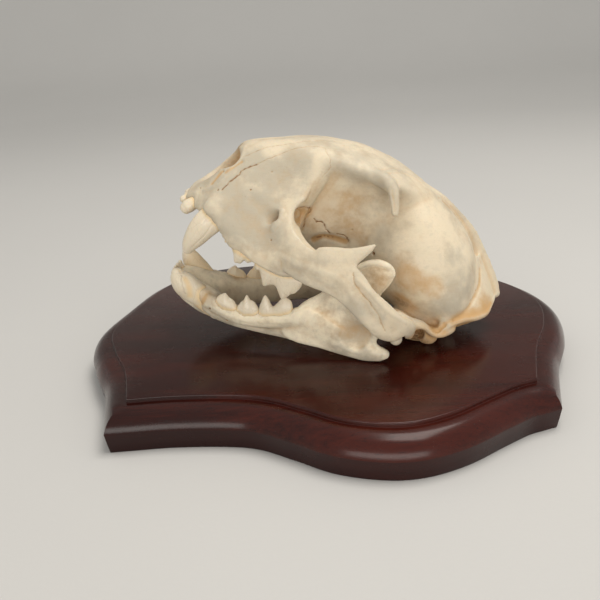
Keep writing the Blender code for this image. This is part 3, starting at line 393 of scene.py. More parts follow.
# Strokes on the skins, each (path, radius, height) or (path, radius, height, mask, amount), and washes,
# each (centre, radii, mask, amount). They are drawn for one side and mirrored for the other.
SNOUT_SEAM = (
    (18.2, 22.9, 20.8), (20, 21.5, 25.7), (22.4, 19.7, 31.2), (24.3, 18.2, 35.8), (29.1, 17.6, 41.1),
)
CRANIUM_STROKES = (
    # Seams: snout to brow, beside the nose bones, between them, between the cheekbone's two halves.
    ((*SNOUT_SEAM, (34.5, 16.8, 48), (40.5, 16.1, 55), (47.5, 15.2, 61), (55.7, 15, 65.2),
      (61.3, 21.8, 63.9), (64.8, 24.3, 58.2), (63, 25.6, 51.7)), 0.8, -0.2, "line", 0.42),
    (SNOUT_SEAM, 0.8, -0.25, "line", 0.7),
    (((20.6, 20.6, 24), (22.6, 18.6, 30), (25, 17, 35), (30, 16.6, 41.5)), 0.7, -0.2, "line", 0.5),
    (((20.5, 14.2, 40.6), (27.9, 12.6, 48.8), (33.4, 11.6, 53.5), (43.7, 10.3, 60.9), (54.6, 7.2, 67.1),
      (62, 5, 69.8)), 0.8, -0.2, "line", 0.45),
    (((22, 0, 48.5), (36, 0, 57.5), (50, 0, 65.5), (62, 0, 70.4)), 1, -0.25, "line", 0.4),
    (((96.5, 61.6, 24.8), (98.6, 63, 20.9), (104, 64.8, 18.2), (111, 66.1, 15.3), (117.6, 66.5, 11.8),
      (122.3, 66.1, 8.3), (126.4, 65.4, 4.9)), 0.9, -0.4, "line", 0.48),
    # Front upper jaw: raised rim of the nostril, dimple and ridge beside it, bulge of the canine's root.
    (((18.2, 8, 45.4), (19.4, 12, 41), (18.6, 14, 36), (15.8, 15, 31.4), (12.6, 14.4, 27.6)), 1.8, 0.4),
    (((11.6, 17.1, 20.1), (12.6, 16.1, 24.2), (13.6, 15.1, 28.2)), 2.4, -0.6, "stain", 0.8),
    (((21, 15.6, 38), (18.4, 16, 33), (16.4, 16.8, 29)), 2.4, -0.5, "stain", 0.85),
    (((17, 16.7, 31.5), (16, 19.2, 25), (14, 19.8, 19.8), (9.5, 17, 14.2)), 2.2, 0.55),
    # Opening below the eye: a soft dish before it, tinted tan as painted shade, and a raised bar behind it.
    (((36, 26.5, 24.5), (42, 27.5, 23.5), (46.5, 29, 22.5)), 5, -0.35, "stain", 0.2),
    (((52.5, 32, 27.5), (53.5, 34, 23), (52.5, 35, 18.5)), 2.6, 0.6),
    # Cheekbone: the ridge of the chewing muscle, the hollows beside it and the raised edges.
    (((60, 42.5, 8.5), (67.2, 47.8, 10.3), (76.9, 53.7, 13.5), (85.7, 57.7, 16.2), (90.6, 59.9, 17),
      (96.3, 62.4, 16.1), (107.1, 65.6, 12.3)), 3.2, 0.35),
    (((64, 46.5, 4.5), (74, 52, 7), (84, 57, 9.5), (94, 61, 9.5)), 5, -0.45, "stain", 0.25),
    (((70, 47, 22.5), (79, 52.5, 24), (86, 56, 28)), 4, -0.3),
    (((103, 65, 19), (112, 66.2, 12.5), (121, 66, 8), (130, 63.5, 6.5)), 6.5, -1.1, "stain", 0.15),
    (((100, 63.5, 22.5), (110, 65, 19.5), (122, 64.5, 15), (134, 59, 12)), 1.8, 0.35),
    (((120, 65.5, -0.5), (128, 63, -1.2), (135, 59.5, 1)), 2, 0.4),
    # Brow: grooved process, and the lines that run back to the crest.
    (((97.6, 36, 66), (101, 38, 61.4), (103.8, 38.4, 57.4)), 1.5, -0.35, "stain", 0.4),
    (((90, 27, 72.3), (94.6, 21.7, 73.5), (100.7, 14.2, 74.3), (108, 8.9, 73.4), (117, 4, 72)), 1.9, 0.5),
    pit(128.7, 6.1, 69.3, 1.6, 0.5, 0.3),
    (((132, 4.5, 67.5), (140, 4.4, 65), (150, 4.2, 60), (161, 4, 53.8), (171, 5, 46.5)),
     2, -0.35, "stain", 0.35),
    # Nerve and vessel openings.
    pit(93.1, 14.6, 32, 1.1, 0.8, 0.8),
    pit(109.3, 20.3, 26.8, 1.8, 1.4, 0.9),
    pit(104, 16, 24, 1.4, 1.2, 0.8),
    pit(66.9, 9.6, 70.7, 0.9, 0.5, 0.8),
    # Nape: furrow inside the plate's edge, and the stain of its rim.
    (((172, 9.9, 45.5), (174.4, 16, 38.2), (171.2, 25.9, 28.6), (167.7, 33.6, 21.2), (161.7, 37.2, 14)),
     3, -0.5, "stain", 0.7),
    (((184, 20, 28), (178, 27, 25), (171, 33, 22), (166, 37, 18)), 8, 0, "stain", 1),
    (((186.5, 13, 30), (184.5, 20.5, 27), (178.5, 28, 24.5)), 3, 0, "stain", 0.9),
    (((161, 38.6, 13.5), (159, 40, 10.5)), 3, -0.9, "stain", 1),
)
LEFT_STROKES = (
    # Thin, broken bone at the front of the eye socket, a second gap low in it and a crack between them.
    (((60.2, 29.5, 30.5), (62.5, 27, 30.5), (64.5, 25.5, 29), (65.5, 27.5, 26.5)), 4.8, -2.2, "stain", 1),
    (((59.1, 28.1, 32.5), (62.4, 24.1, 34.2), (67.2, 21, 31.9), (68.1, 23.5, 26.8), (66.6, 28.7, 23.9)),
     1.1, -0.4, "line", 0.75),
    (((65, 22, 34.5), (67.6, 16.2, 31.5), (66.4, 17.4, 27.5), (67.6, 15.4, 23.8), (68.6, 14.2, 18.5)),
     0.9, -0.4, "line", 0.7),
    (((77.1, 13.3, 16.2), (80.3, 13.5, 20), (85.6, 13.4, 22.1), (93.3, 13.5, 23.5)), 3.2, -1.6, "stain", 1),
    (((87, 13.6, 26), (92, 13.8, 26.5), (95, 13.8, 24)), 0.8, -0.4, "line", 0.8),
    (((78.4, 13.3, 18), (81.5, 13.5, 20.4), (86, 13.4, 22)), 1, -0.8, "line", 0.8),
    (((68.6, 21, 27), (71, 17, 27.4), (73.2, 14.6, 26.8), (75.6, 13.4, 28), (77.5, 14.2, 27.2),
      (80, 13.2, 25.4), (83, 13.6, 24.2)), 0.75, -0.5, "line", 1),
    # Pits on the snout, below the socket and at the nape.
    pit(6.6, 12.9, 13.1, 0.9, 0.5, 0.9),
    pit(16.3, 22.4, 19.7, 1, 0.5, 0.9),
    pit(14.1, 15.5, 28.6, 0.9, 0.5, 0.9),
    pit(32.3, 22.7, 28.2, 0.9, 0.5, 0.8),
    pit(38.1, 20, 41.8, 0.9, 0.4, 0.7),
    pit(53.4, 37.8, 12.7, 1, 0.5, 0.8),
    pit(170, 26.5, 30, 1.1, 0.5, 0.7),
    pit(173, 20, 35.5, 1, 0.5, 0.6),
    pit(164.5, 36.5, 18, 1.2, 0.6, 0.7),
)
# Corner at the front of the eye socket that is evened out: (centre, radii).
SOCKET_CORNER = ((64, 25, 42), (9.5, 9.5, 27))
CRANIUM_WASHES = (
    # Painted shade: the first four washes darken the eye socket's inner wall, the inside of the nose and the
    # front of the eye socket.
    ((82, 12, 36), (34, 20, 34), "stain", 0.36),
    ((24, 0, 29), (28, 18, 19), "stain", 1),
    ((64, 29, 44), (10, 9, 20), "stain", 0.42),
    ((64, 27, 29), (8, 9, 9), "stain", 0.9),
    # Greyer, darker patches on the snout, below the eye and over the upper jaw: partly grey bone, partly
    # painted shade.
    ((30, 18, 40), (14, 8, 12), "grey_and_shade", 0.7),
    ((46, 22, 44), (18, 12, 20), "grey_and_shade", 0.6),
    ((44, 30, 16), (24, 16, 20), "grey_and_shade", 1),
    ((183, 18, 27), (15, 20, 13), "stain", 0.6),
    ((150, 36, -1), (24, 34, 11), "stain", 1),
    ((172, 30, 16), (16, 16, 12), "stain", 1),
    ((160, 38, 5), (13, 14, 12), "stain", 1),
    ((149, 46, 2), (9, 18, 11), "stain", 0.9),
    ((153, 34, -2), (12, 14, 8), "line", 0.62),
    ((28, 0, 4), (34, 20, 7), "stain", 0.4),
    ((60, 34, 2), (24, 12, 5), "stain", 0.35),
)
LEFT_WASHES = (
    ((65.5, 20.5, 29.5), (7, 8.5, 6.5), "stain", 1),
    ((124, 32, 34), (10, 9, 12), "stain", 0.42),
    ((130, 36, 28), (15, 10, 12), "stain", 0.6),
    ((142, 38, 30), (12, 9, 9), "stain", 0.62),
    ((137, 30, 11), (13, 14, 9), "stain", 0.7),
    ((136, 29, 11), (7, 9, 5), "line", 0.4),
)
JAW_STROKES = (
    # Nerve openings.
    pit(12.7, 20.2, 13.2, 1.1, 0.8, 1),
    pit(12.4, 16.9, 4.9, 1.3, 1, 1),
    pit(21.7, 20.2, 4.9, 1.2, 0.9, 1),
    # Worn rim of the canine's socket.
    (((8.8, 20.5, 24.7), (8.6, 20.4, 18.1), (5.2, 19, 13.5), (-3.5, 16, 12.2)), 2.6, -0.3, "stain", 0.9),
    # Rim and hollow of the coronoid process, ridge at the front of the ramus, ridge low on it.
    (((88, 40, 47), (94.8, 41.6, 53.5), (101.9, 43.4, 57), (109.4, 45.5, 56.5)), 2, 0.5),
    (((92, 41.5, 44), (99, 43.5, 49), (106, 45.5, 49)), 4.5, -0.3, "stain", 0.35),
    (((82.5, 39.6, 41), (78.5, 38.1, 35.9), (71.1, 36.8, 26.1), (66.8, 37.7, 16.8)), 3.4, 0.35),
    (((84, 43, 7.2), (100, 48, 6), (110, 50, 6)), 3, 0.25),
)
JAW_WASHES = (
    ((30, 22, 16), (30, 10, 4), "stain", 0.35),
    ((86, 42, 20), (20, 10, 16), "stain", 0.32),
    ((104, 44, 46), (14, 8, 16), "stain", 0.5),
    ((6, 18, 20), (9, 8, 10), "stain", 0.4),
    ((30, 10, 12), (40, 8, 10), "stain", 0.2),
)
# Far right-hand teeth washed orange-tan: partly stains, partly painted shade and painted light shining
# through them.
FAR_TOOTH_STAIN_AND_SHADE = (
    ((0, 14, 26), (18, 12, 22), "stain", 0.75),
    ((38, 28, 20), (40, 16, 18), "stain", 0.75),
)
UPPER_TOOTH_STROKES = (
    (((21.5, 29.5, 3), (20.6, 29.4, -4.7), (18.6, 28.8, -11), (16.8, 27.2, -16.5)),
     0.9, -0.22, "stain", 0.3),
    (((17, 29.5, 3), (15.7, 29.2, -5), (14.8, 28.4, -11)), 0.8, -0.15),
    (((3, 12.8, -4.8),), 3, -0.3, "stain", 1),
    (((-0.6, 7.6, -0.6),), 2, 0, "stain", 0.8),
    (((-0.6, 2.4, -0.4),), 2, 0, "stain", 0.8),
)
BREAK_STROKES = (
    (((-3.4, 19.6, 28.6), (-1.6, 20.4, 25.6), (-0.6, 20.2, 21.6), (-0.6, 18.6, 18.4)), 5, -0.8, "stain", 1),
    (((-5.6, 19, 31.5), (-5.6, 20.2, 28.6), (-4.8, 20.4, 24), (-3.5, 19.5, 19.5)), 0.9, -0.3, "line", 0.45),
    (((-9.6, 15, 33), (-7, 17, 32.6)), 2.2, -0.5, "stain", 0.7),
)


class SkullSettings(PropertyGroup):
    """Fineness and finish of the bones and the teeth."""
    bone_grain: FloatProperty(
        name="Bone Fineness", description="Edge length of the skin grown over the bones",
        default=0.55 * MM, min=0.3 * MM, max=2.0 * MM, unit="LENGTH")
    tooth_grain: FloatProperty(
        name="Tooth Fineness", description="Edge length of the skin grown over the teeth",
        default=0.32 * MM, min=0.2 * MM, max=1.0 * MM, unit="LENGTH")
    core_grain: FloatProperty(
        name="Core Fineness", description="Edge length of the rounded core under the details",
        default=1.3 * MM, min=0.8 * MM, max=3.0 * MM, unit="LENGTH")
    core_softening: IntProperty(
        name="Core Softening", description="Rounds of smoothing on the core", default=8, min=0, max=30)
    unevenness: FloatProperty(
        name="Unevenness", description="Depth of the soft natural waves in the bone",
        default=0.5 * MM, min=0.0, max=2.0 * MM, unit="LENGTH")
    ivory: FloatVectorProperty(
        name="Ivory", description="Main colour of the bone", subtype="COLOR", default=(0.725, 0.62, 0.455))
    # Painted light: the lower jaw's ivory is lighter than the cranium's, standing in for the light that falls
    # on the jaw.
    jaw_ivory_painted_light: FloatVectorProperty(
        name="Jaw Ivory", description="Main colour of the lower jaw", subtype="COLOR",
        default=(0.92, 0.81, 0.61))
    chalk: FloatVectorProperty(
        name="Chalk", description="Greyish patches of the bone", subtype="COLOR",
        default=(0.51, 0.45, 0.345))
    # Tan colours stains and hollows, and the painted shade deep in the eye sockets and the nose.
    tan: FloatVectorProperty(
        name="Tan", description="Stained hollows of the bone", subtype="COLOR", default=(0.56, 0.35, 0.16))
    seam_brown: FloatVectorProperty(
        name="Seam Brown", description="Seams, pores and cracks", subtype="COLOR",
        default=(0.24, 0.125, 0.055))
    enamel: FloatVectorProperty(
        name="Enamel", description="Colour of the tooth crowns", subtype="COLOR",
        default=(0.75, 0.655, 0.5))
    dentine: FloatVectorProperty(
        name="Dentine", description="Colour of worn and broken teeth", subtype="COLOR",
        default=(0.84, 0.62, 0.33))


class BoardSettings(PropertyGroup):
    """Sizes and finish of the board."""
    step_height: FloatProperty(
        name="Step Height", description="Height of the raised field over the moulding",
        default=2.6 * MM, min=0.5 * MM, max=6.0 * MM, unit="LENGTH")
    step_width: FloatProperty(
        name="Step Width", description="Flat between the raised field and the moulding",
        default=1.8 * MM, min=0.5 * MM, max=6.0 * MM, unit="LENGTH")
    ovolo_width: FloatProperty(
        name="Moulding Width", description="Width of the rounded moulding",
        default=11.4 * MM, min=3.0 * MM, max=20.0 * MM, unit="LENGTH")
    ovolo_height: FloatProperty(
        name="Moulding Height", description="Height of the rounded moulding",
        default=10.4 * MM, min=3.0 * MM, max=15.0 * MM, unit="LENGTH")
    band_undercut: FloatProperty(
        name="Band Undercut", description="How far the lower band stands back under the moulding",
        default=1.6 * MM, min=0.0, max=4.0 * MM, unit="LENGTH")
    mahogany: FloatVectorProperty(
        name="Mahogany", description="Dark stain of the wood", subtype="COLOR",
        default=(0.02, 0.0034, 0.0022))
    cherry: FloatVectorProperty(
        name="Cherry", description="Redder streaks of the wood", subtype="COLOR",
        default=(0.052, 0.0078, 0.004))


class StageSettings(PropertyGroup):
    """Camera, light and floor."""
    lens: FloatProperty(
        name="Lens", description="Focal length of the camera in millimetres",
        default=42.0, min=10.0, max=200.0)
    camera_place: FloatVectorProperty(
        name="Camera Place", description="Where the camera stands", subtype="TRANSLATION", unit="LENGTH",
        default=(-0.0175, -0.400, 0.212))
    camera_pitch: FloatProperty(
        name="Camera Pitch", description="How far the camera looks down", subtype="ANGLE",
        default=math.radians(23.0))
    camera_roll: FloatProperty(
        name="Camera Roll", description="How far the camera leans", subtype="ANGLE",
        default=math.radians(-3.0))
    key_power: FloatProperty(
        name="Key Power", description="Power of the large overhead light", subtype="POWER",
        default=9.2, min=0.0)
    fill_power: FloatProperty(
        name="Fill Power", description="Power of the side light", subtype="POWER", default=8.0, min=0.0)
    floor_colour: FloatVectorProperty(
        name="Floor", description="Colour of the floor", subtype="COLOR", default=(0.62, 0.61, 0.59))


def through(points, steps, closed=False):
    """A smooth curve's points through the given ones, each a row of numbers."""
    rows = np.array(points, float)
    first, last = (rows[-1], rows[:2]) if closed else (2 * rows[0] - rows[1], [2 * rows[-1] - rows[-2]])
    rows = np.array([first, *rows, *last])
    curve = []
    for a, b, c, d in zip(rows, rows[1:], rows[2:], rows[3:]):
        for t in (step / steps for step in range(steps)):
            curve.append(0.5 * (2 * b + (c - a) * t + (2 * a - 5 * b + 4 * c - d) * t * t
                                + (3 * b - a - 3 * c + d) * t ** 3))
    return np.array(curve if closed else [*curve, rows[-2]])


def numbers(items, key, width=1, kind=np.float32):
    """One property of all a mesh's items, as rows of numbers."""
    flat = np.empty(len(items) * width, kind)
    items.foreach_get(key, flat)
    return flat.reshape(-1, width)


def linked(name, data):
    """A new object of the scene that holds a mesh, a light, a camera or nothing."""
    made = bpy.data.objects.new(name, data)
    bpy.context.scene.collection.objects.link(made)
    return made


def loft(name, rings):
    """A closed solid through rings of equal counts in millimetres, its ends closed by flat faces."""
    size = len(rings[0])
    last = (len(rings) - 1) * size
    faces = []
    for row in range(0, last, size):
        for column in range(size):
            following = (column + 1) % size
            faces.append((row + column, row + following, row + size + following, row + size + column))
    faces += [tuple(range(size)), tuple(range(last, last + size))]
    mesh = bpy.data.meshes.new(name)
    points = np.array([point[:] for ring in rings for point in ring], float)
    mesh.from_pydata((points * MM).tolist(), [], faces)
    work = bmesh.new()
    work.from_mesh(mesh)
    bmesh.ops.recalc_face_normals(work, faces=work.faces)
    work.to_mesh(mesh)
    work.free()
    return linked(name, mesh)


def mass(name):
    """A solid through the named sections, which are alike left and right."""
    rings = []
    for x, top, *side, bottom in through(SECTIONS[name], SPAN_STEPS):
        side = np.reshape(side, (-1, 2))
        outline = [(0, top), *side, (0, bottom), *((-y, z) for y, z in side[::-1])]
        rings.append([(x, y, z) for y, z in through(outline, SPAN_STEPS, closed=True)])
    return loft(name, rings)


def nape_plate():
    """The overhanging plate of the nape, lofted across the skull from triangular sections."""
    rows = [(-row[0], *row[1:]) for row in NAPE[:0:-1]] + list(NAPE)
    return loft("nape", [[(x, y, z) for x, z in np.reshape(places, (3, 2))]
                         for y, *places in through(rows, SPAN_STEPS)])


def bar(name, side=RIGHT, path=None):
    """A round-ended rod of oval section, along a named path or along the one given."""
    path = [(x, side * y, z, thick, deep) for x, y, z, thick, deep in path or BARS[name]]
    rows = through(path, SPAN_STEPS)
    centres = [Vector(row[:3]) for row in rows]
    whole = (centres[-1] - centres[0]).normalized()
    upright = Vector((0, 0, 1)) if abs(whole.z) < STEEP else Vector((1, 0, 0))
    rings = []
    for index, row in enumerate(rows):
        before = centres[max(index - 1, 0)]
        after = centres[min(index + 1, len(rows) - 1)]
        along = (after - before).normalized()
        across = along.cross(upright).normalized()
        rise = across.cross(along).normalized()
        ring = [centres[index] + across * row[3] * math.cos(turn) + rise * row[4] * math.sin(turn)
                for turn in (2 * math.pi * corner / BAR_CORNERS for corner in range(BAR_CORNERS))]
        rings.append((ring, centres[index], along, min(row[3], row[4])))
    ends = []
    for (ring, centre, along, radius), sign in ((rings[0], -1), (rings[-1], 1)):
        ends.append([[centre + (point - centre) * math.cos(turn) + along * sign * radius * math.sin(turn)
                      for point in ring] for turn in CAP_TURNS])
    return loft(name, [*ends[0][::-1], *(ring for ring, *_ in rings), *ends[1]])


def set_in(name, place, side, turn, sizes, lie=Matrix()):
    """Names the unit shape made last, stretches it, turns it about +Z and moves it to its place."""
    x, y, z = place
    piece = bpy.context.active_object
    piece.name = name
    piece.data.transform(Matrix.Translation(Vector((x, side * y, z)) * MM)
                         @ Matrix.Rotation(math.radians(side * turn), 4, "Z")
                         @ Matrix.Diagonal((*(size * MM for size in sizes), 1)) @ lie)
    return piece


def ball(name, side=RIGHT):
    """A named egg-shaped solid."""
    centre, radii, turn = BALLS[name]
    bpy.ops.mesh.primitive_uv_sphere_add(segments=BALL_SEGMENTS, ring_count=BALL_RINGS, radius=1)
    return set_in(name, centre, side, turn, radii)


def jaw_socket(side):
    """The trough that the jaw's hinge lies in."""
    bpy.ops.mesh.primitive_cylinder_add(vertices=TROUGH_SEGMENTS, radius=1, depth=1)
    return set_in("jaw_socket", JAW_SOCKET, side, 0, JAW_SOCKET_SIZE, Matrix.Rotation(math.pi / 2, 4, "X"))


def blade(name, shape, side, up):
    """A cutting tooth: a crest of cusps along a gum line, with its roots sunk into the bone."""
    ends, profile = shape
    start, end = (Vector((x, side * y, z)) for x, y, z in ends)
    along = (end - start).normalized()
    across = Vector((-along.y, along.x, 0)).normalized()
    rings = []
    for share, thick, height in through(profile, SPAN_STEPS):
        gum = start.lerp(end, share)
        half = [*BLADE_ROOT, *((part, rise * height) for part, rise in BLADE_CROWN)]
        section = [*half, *((-part, rise) for part, rise in half[::-1])]
        rings.append([gum + across * thick * part + Vector((0, 0, up * rise)) for part, rise in section])
    return loft(name, rings)


def modify(piece, kind, **settings):
    """Adds a modifier with the given settings and applies it to the piece's mesh."""
    modifier = piece.modifiers.new(kind.title(), kind)
    for key, value in settings.items():
        setattr(modifier, key, value)
    graph = bpy.context.evaluated_depsgraph_get()
    mesh = bpy.data.meshes.new_from_object(piece.evaluated_get(graph))
    piece.modifiers.clear()
    old = piece.data
    piece.data = mesh
    bpy.data.meshes.remove(old)


def carve(pieces, cutter):
    """Cuts one solid out of each piece, then deletes it."""
    for piece in pieces:
        modify(piece, "BOOLEAN", operation="DIFFERENCE", solver="EXACT", object=cutter)
    bpy.data.objects.remove(cutter)


def merged(name, pieces):
    """One object that holds every piece's mesh."""
    work = bmesh.new()
    for piece in pieces:
        work.from_mesh(piece.data)
        bpy.data.objects.remove(piece)
    mesh = bpy.data.meshes.new(name)
    work.to_mesh(mesh)
    work.free()
    return linked(name, mesh)


def keep_largest(piece):
    """Leaves only the largest connected surface of a piece."""
    mesh = piece.data
    first, second = numbers(mesh.edges, "vertices", 2, np.int32).T
    group = np.arange(len(mesh.vertices))
    while True:
        lowest = np.minimum(group[first], group[second])
        joined = group.copy()
        np.minimum.at(joined, first, lowest)
        np.minimum.at(joined, second, lowest)
        joined = joined[joined]
        if np.array_equal(joined, group):
            break
        group = joined
    names, sizes = np.unique(group, return_counts=True)
    strays = np.flatnonzero(group != names[sizes.argmax()])
    if len(strays):
        work = bmesh.new()
        work.from_mesh(mesh)
        work.verts.ensure_lookup_table()
        bmesh.ops.delete(work, geom=[work.verts[index] for index in strays], context="VERTS")
        work.to_mesh(mesh)
        work.free()
    return piece


def rounded(piece, grain, softening):
    """Grows one even skin over a piece and softens it."""
    modify(piece, "REMESH", mode="VOXEL", voxel_size=grain)
    if softening:
        modify(piece, "SMOOTH", factor=SMOOTHING, iterations=softening)


def grown(name, pieces, grain, softening):
    """Overlapping pieces as one skin, its inner corners filled and its edges rounded."""
    whole = merged(name, pieces)
    rounded(whole, grain, softening)
    return keep_largest(whole)


def waves(piece, size, depth, seed):
    """Soft natural unevenness over a whole piece."""
    texture = bpy.data.textures.new("waves", "CLOUDS")
    texture.noise_scale = size * MM
    texture.noise_depth = 2
    shift = linked("waves_place", None)
    shift.location = [seed * share for share in WAVE_SHIFT]
    bpy.context.view_layer.update()
    modify(piece, "DISPLACE", texture=texture, strength=depth, mid_level=0.5,
           texture_coords="OBJECT", texture_coords_object=shift)
    bpy.data.objects.remove(shift)
    bpy.data.textures.remove(texture)


def refined(name, shape, settings, seed):
    """A grown shape at full fineness, with its soft unevenness."""
    piece = grown(name, [shape], settings.bone_grain, SKIN_ROUNDS)
    waves(piece, BROAD_WAVES, settings.unevenness, seed)
    waves(piece, FINE_WAVES, settings.unevenness * FINE_SHARE, seed + 1)
    piece.data.shade_smooth()
    return piece


class Skin:
    """A grown piece's vertices as arrays: places in millimetres, outward directions and painted masks."""

    def __init__(self, piece):
        self.piece = piece
        self.read()
        self.masks = {}
        for name in MASKS:
            layer = piece.data.attributes.get(name)
            values = numbers(layer.data, "value")[:, 0] if layer else np.zeros(len(self.points))
            self.masks[name] = values.astype(float)

    def read(self):
        """Reads the places and directions from the mesh."""
        mesh = self.piece.data
        self.points = numbers(mesh.vertices, "co", 3).astype(float) / MM
        self.normals = numbers(mesh.vertex_normals, "vector", 3).astype(float)

    def write(self):
        """Writes the places and masks to the mesh."""
        mesh = self.piece.data
        mesh.vertices.foreach_set("co", (self.points * MM).astype(np.float32).ravel())
        for name, values in self.masks.items():
            layer = mesh.attributes.get(name) or mesh.attributes.new(name, "FLOAT", "POINT")
            layer.data.foreach_set("value", np.clip(values, 0, 1).astype(np.float32))
        mesh.update()
        self.read()

    def near(self, path, radius):
        """The vertices within a radius of a path, measured along the skin, and how close they are."""
        path = np.array(path, float)
        reach = max(radius, DEPTH_REACH)
        low, high = path.min(0) - reach, path.max(0) + reach
        found = np.flatnonzero(np.all((self.points >= low) & (self.points <= high), axis=1))
        places, normals = self.points[found], self.normals[found]
        best = np.full(len(found), float(radius * radius))
        for start, end in zip(path[:-1], path[1:]):
            along = end - start
            share = np.clip((places - start) @ along / max(along @ along, 1e-9), 0, 1)
            gap = places - start - share[:, None] * along
            rise = (gap * normals).sum(1)
            flat = (gap * gap).sum(1) - rise * rise
            best = np.where(np.abs(rise) < DEPTH_REACH, np.minimum(best, flat), best)
        return found, 1 - np.sqrt(np.maximum(best, 0)) / radius

    def stroke(self, path, radius, height, mask=None, amount=0):
        """Raises or sinks the skin along a path and paints it."""
        rows = through(path, STROKE_STEPS) if len(path) > 1 else path * 2
        if mask == "line" and len(path) > 1:
            rows = rows + np.random.default_rng(len(rows)).normal(0, WOBBLE, rows.shape)
        found, close = self.near(rows, radius)
        soft = close * close * (3 - 2 * close)
        self.points[found] += self.normals[found] * (soft * height)[:, None]
        if mask:
            self.masks[mask][found] = np.maximum(self.masks[mask][found], soft * amount)

    def patch(self, centre, radii):
        """How far inside an egg-shaped patch each vertex lies: 1 in its inner half, 0 from its edge on."""
        gap = (self.points - np.array(centre)) / np.array(radii)
        return np.clip(2 - 2 * np.sqrt((gap * gap).sum(1)), 0, 1)

    def wash(self, centre, radii, mask, amount):
        """Paints a soft egg-shaped patch."""
        self.masks[mask] = np.maximum(self.masks[mask], amount * self.patch(centre, radii))

    def sculpt(self, sides, strokes, washes=()):
        """Draws strokes and washes on one side or both."""
        for side in sides:
            for path, *stroke in strokes:
                self.stroke([(x, side * abs(y), z) for x, y, z in path], *stroke)
            for (x, y, z), *wash in washes:
                self.wash((x, side * y, z), *wash)

    def averaged(self, chosen, rounds):
        """The chosen vertices' places after rounds of averaging with their neighbours."""
        number = np.full(len(self.points), -1)
        number[chosen] = np.arange(len(chosen))
        first, second = number[numbers(self.piece.data.edges, "vertices", 2, np.int32)].T
        both = (first >= 0) & (second >= 0)
        first, second, count = first[both], second[both], len(chosen)
        links = np.bincount(first, minlength=count) + np.bincount(second, minlength=count)
        middle = self.points[chosen]
        for _ in range(rounds):
            middle = np.stack([np.bincount(first, middle[second, axis], count)
                               + np.bincount(second, middle[first, axis], count) for axis in range(3)], 1)
            middle /= np.maximum(links, 1)[:, None]
        return middle

    def hollow(self, rounds):
        """How far each vertex lies under the middle of its surroundings, in millimetres."""
        middle = self.averaged(np.arange(len(self.points)), rounds)
        return ((middle - self.points) * self.normals).sum(1)

    def soften(self, centre, radii, rounds):
        """Evens out the skin in an egg-shaped patch."""
        share = self.patch(centre, radii)
        chosen = np.flatnonzero(share > 0)
        moved = self.averaged(chosen, rounds) - self.points[chosen]
        self.points[chosen] += moved * share[chosen, None]

    def weather(self):
        """Writes the skin, then paints its hollows and its rubbed edges."""
        self.write()
        fine = self.hollow(FINE_ROUNDS)
        broad = self.hollow(BROAD_ROUNDS)
        self.masks["hollow"] = (np.clip(fine / FINE_HOLLOW, 0, 1) * HOLLOW_SHARE
                                + np.clip(broad / BROAD_HOLLOW, 0, 1) * HOLLOW_SHARE)
        self.masks["rubbed"] = np.clip(-fine / RUBBED_EDGE, 0, 1)
        self.write()


def seat(bone, teeth):
    """Opens a thin dark seam round each tooth, with a raised rim, and stains the teeth's necks."""
    skin, crown = Skin(bone), Skin(teeth)
    bone_tree, tooth_tree = (BVHTree.FromPolygons([vertex.co[:] for vertex in piece.data.vertices],
                                                  [face.vertices[:] for face in piece.data.polygons])
                             for piece in (bone, teeth))
    low, high = crown.points.min(0) - SEAT_REACH, crown.points.max(0) + SEAT_REACH
    for index in np.flatnonzero(np.all((skin.points > low) & (skin.points < high), axis=1)):
        place = Vector(skin.points[index] * MM)
        spot, normal, _, gap = tooth_tree.find_nearest(place, SEAT_REACH * MM)
        if spot is None or (place - spot).dot(normal) < 0:
            continue
        gap /= MM
        if gap < SEAM_WIDTH:
            deep = 1 - gap / SEAM_WIDTH
            skin.points[index] -= skin.normals[index] * SEAM_DEPTH * deep
            skin.masks["line"][index] = max(skin.masks["line"][index], SEAM_SHADE * deep)
        else:
            rise = math.sin(math.pi * (gap - SEAM_WIDTH) / (SEAT_REACH - SEAM_WIDTH))
            skin.points[index] += skin.normals[index] * RIM_HEIGHT * rise
    skin.write()
    stain = crown.masks["stain"]
    for index, point in enumerate(crown.points):
        spot, _, _, gap = bone_tree.find_nearest(Vector(point * MM), SEAT_REACH * MM)
        if spot is not None:
            stain[index] = max(stain[index], 1 - gap / MM / SEAT_REACH)
    crown.write()
    teeth.data.shade_smooth()


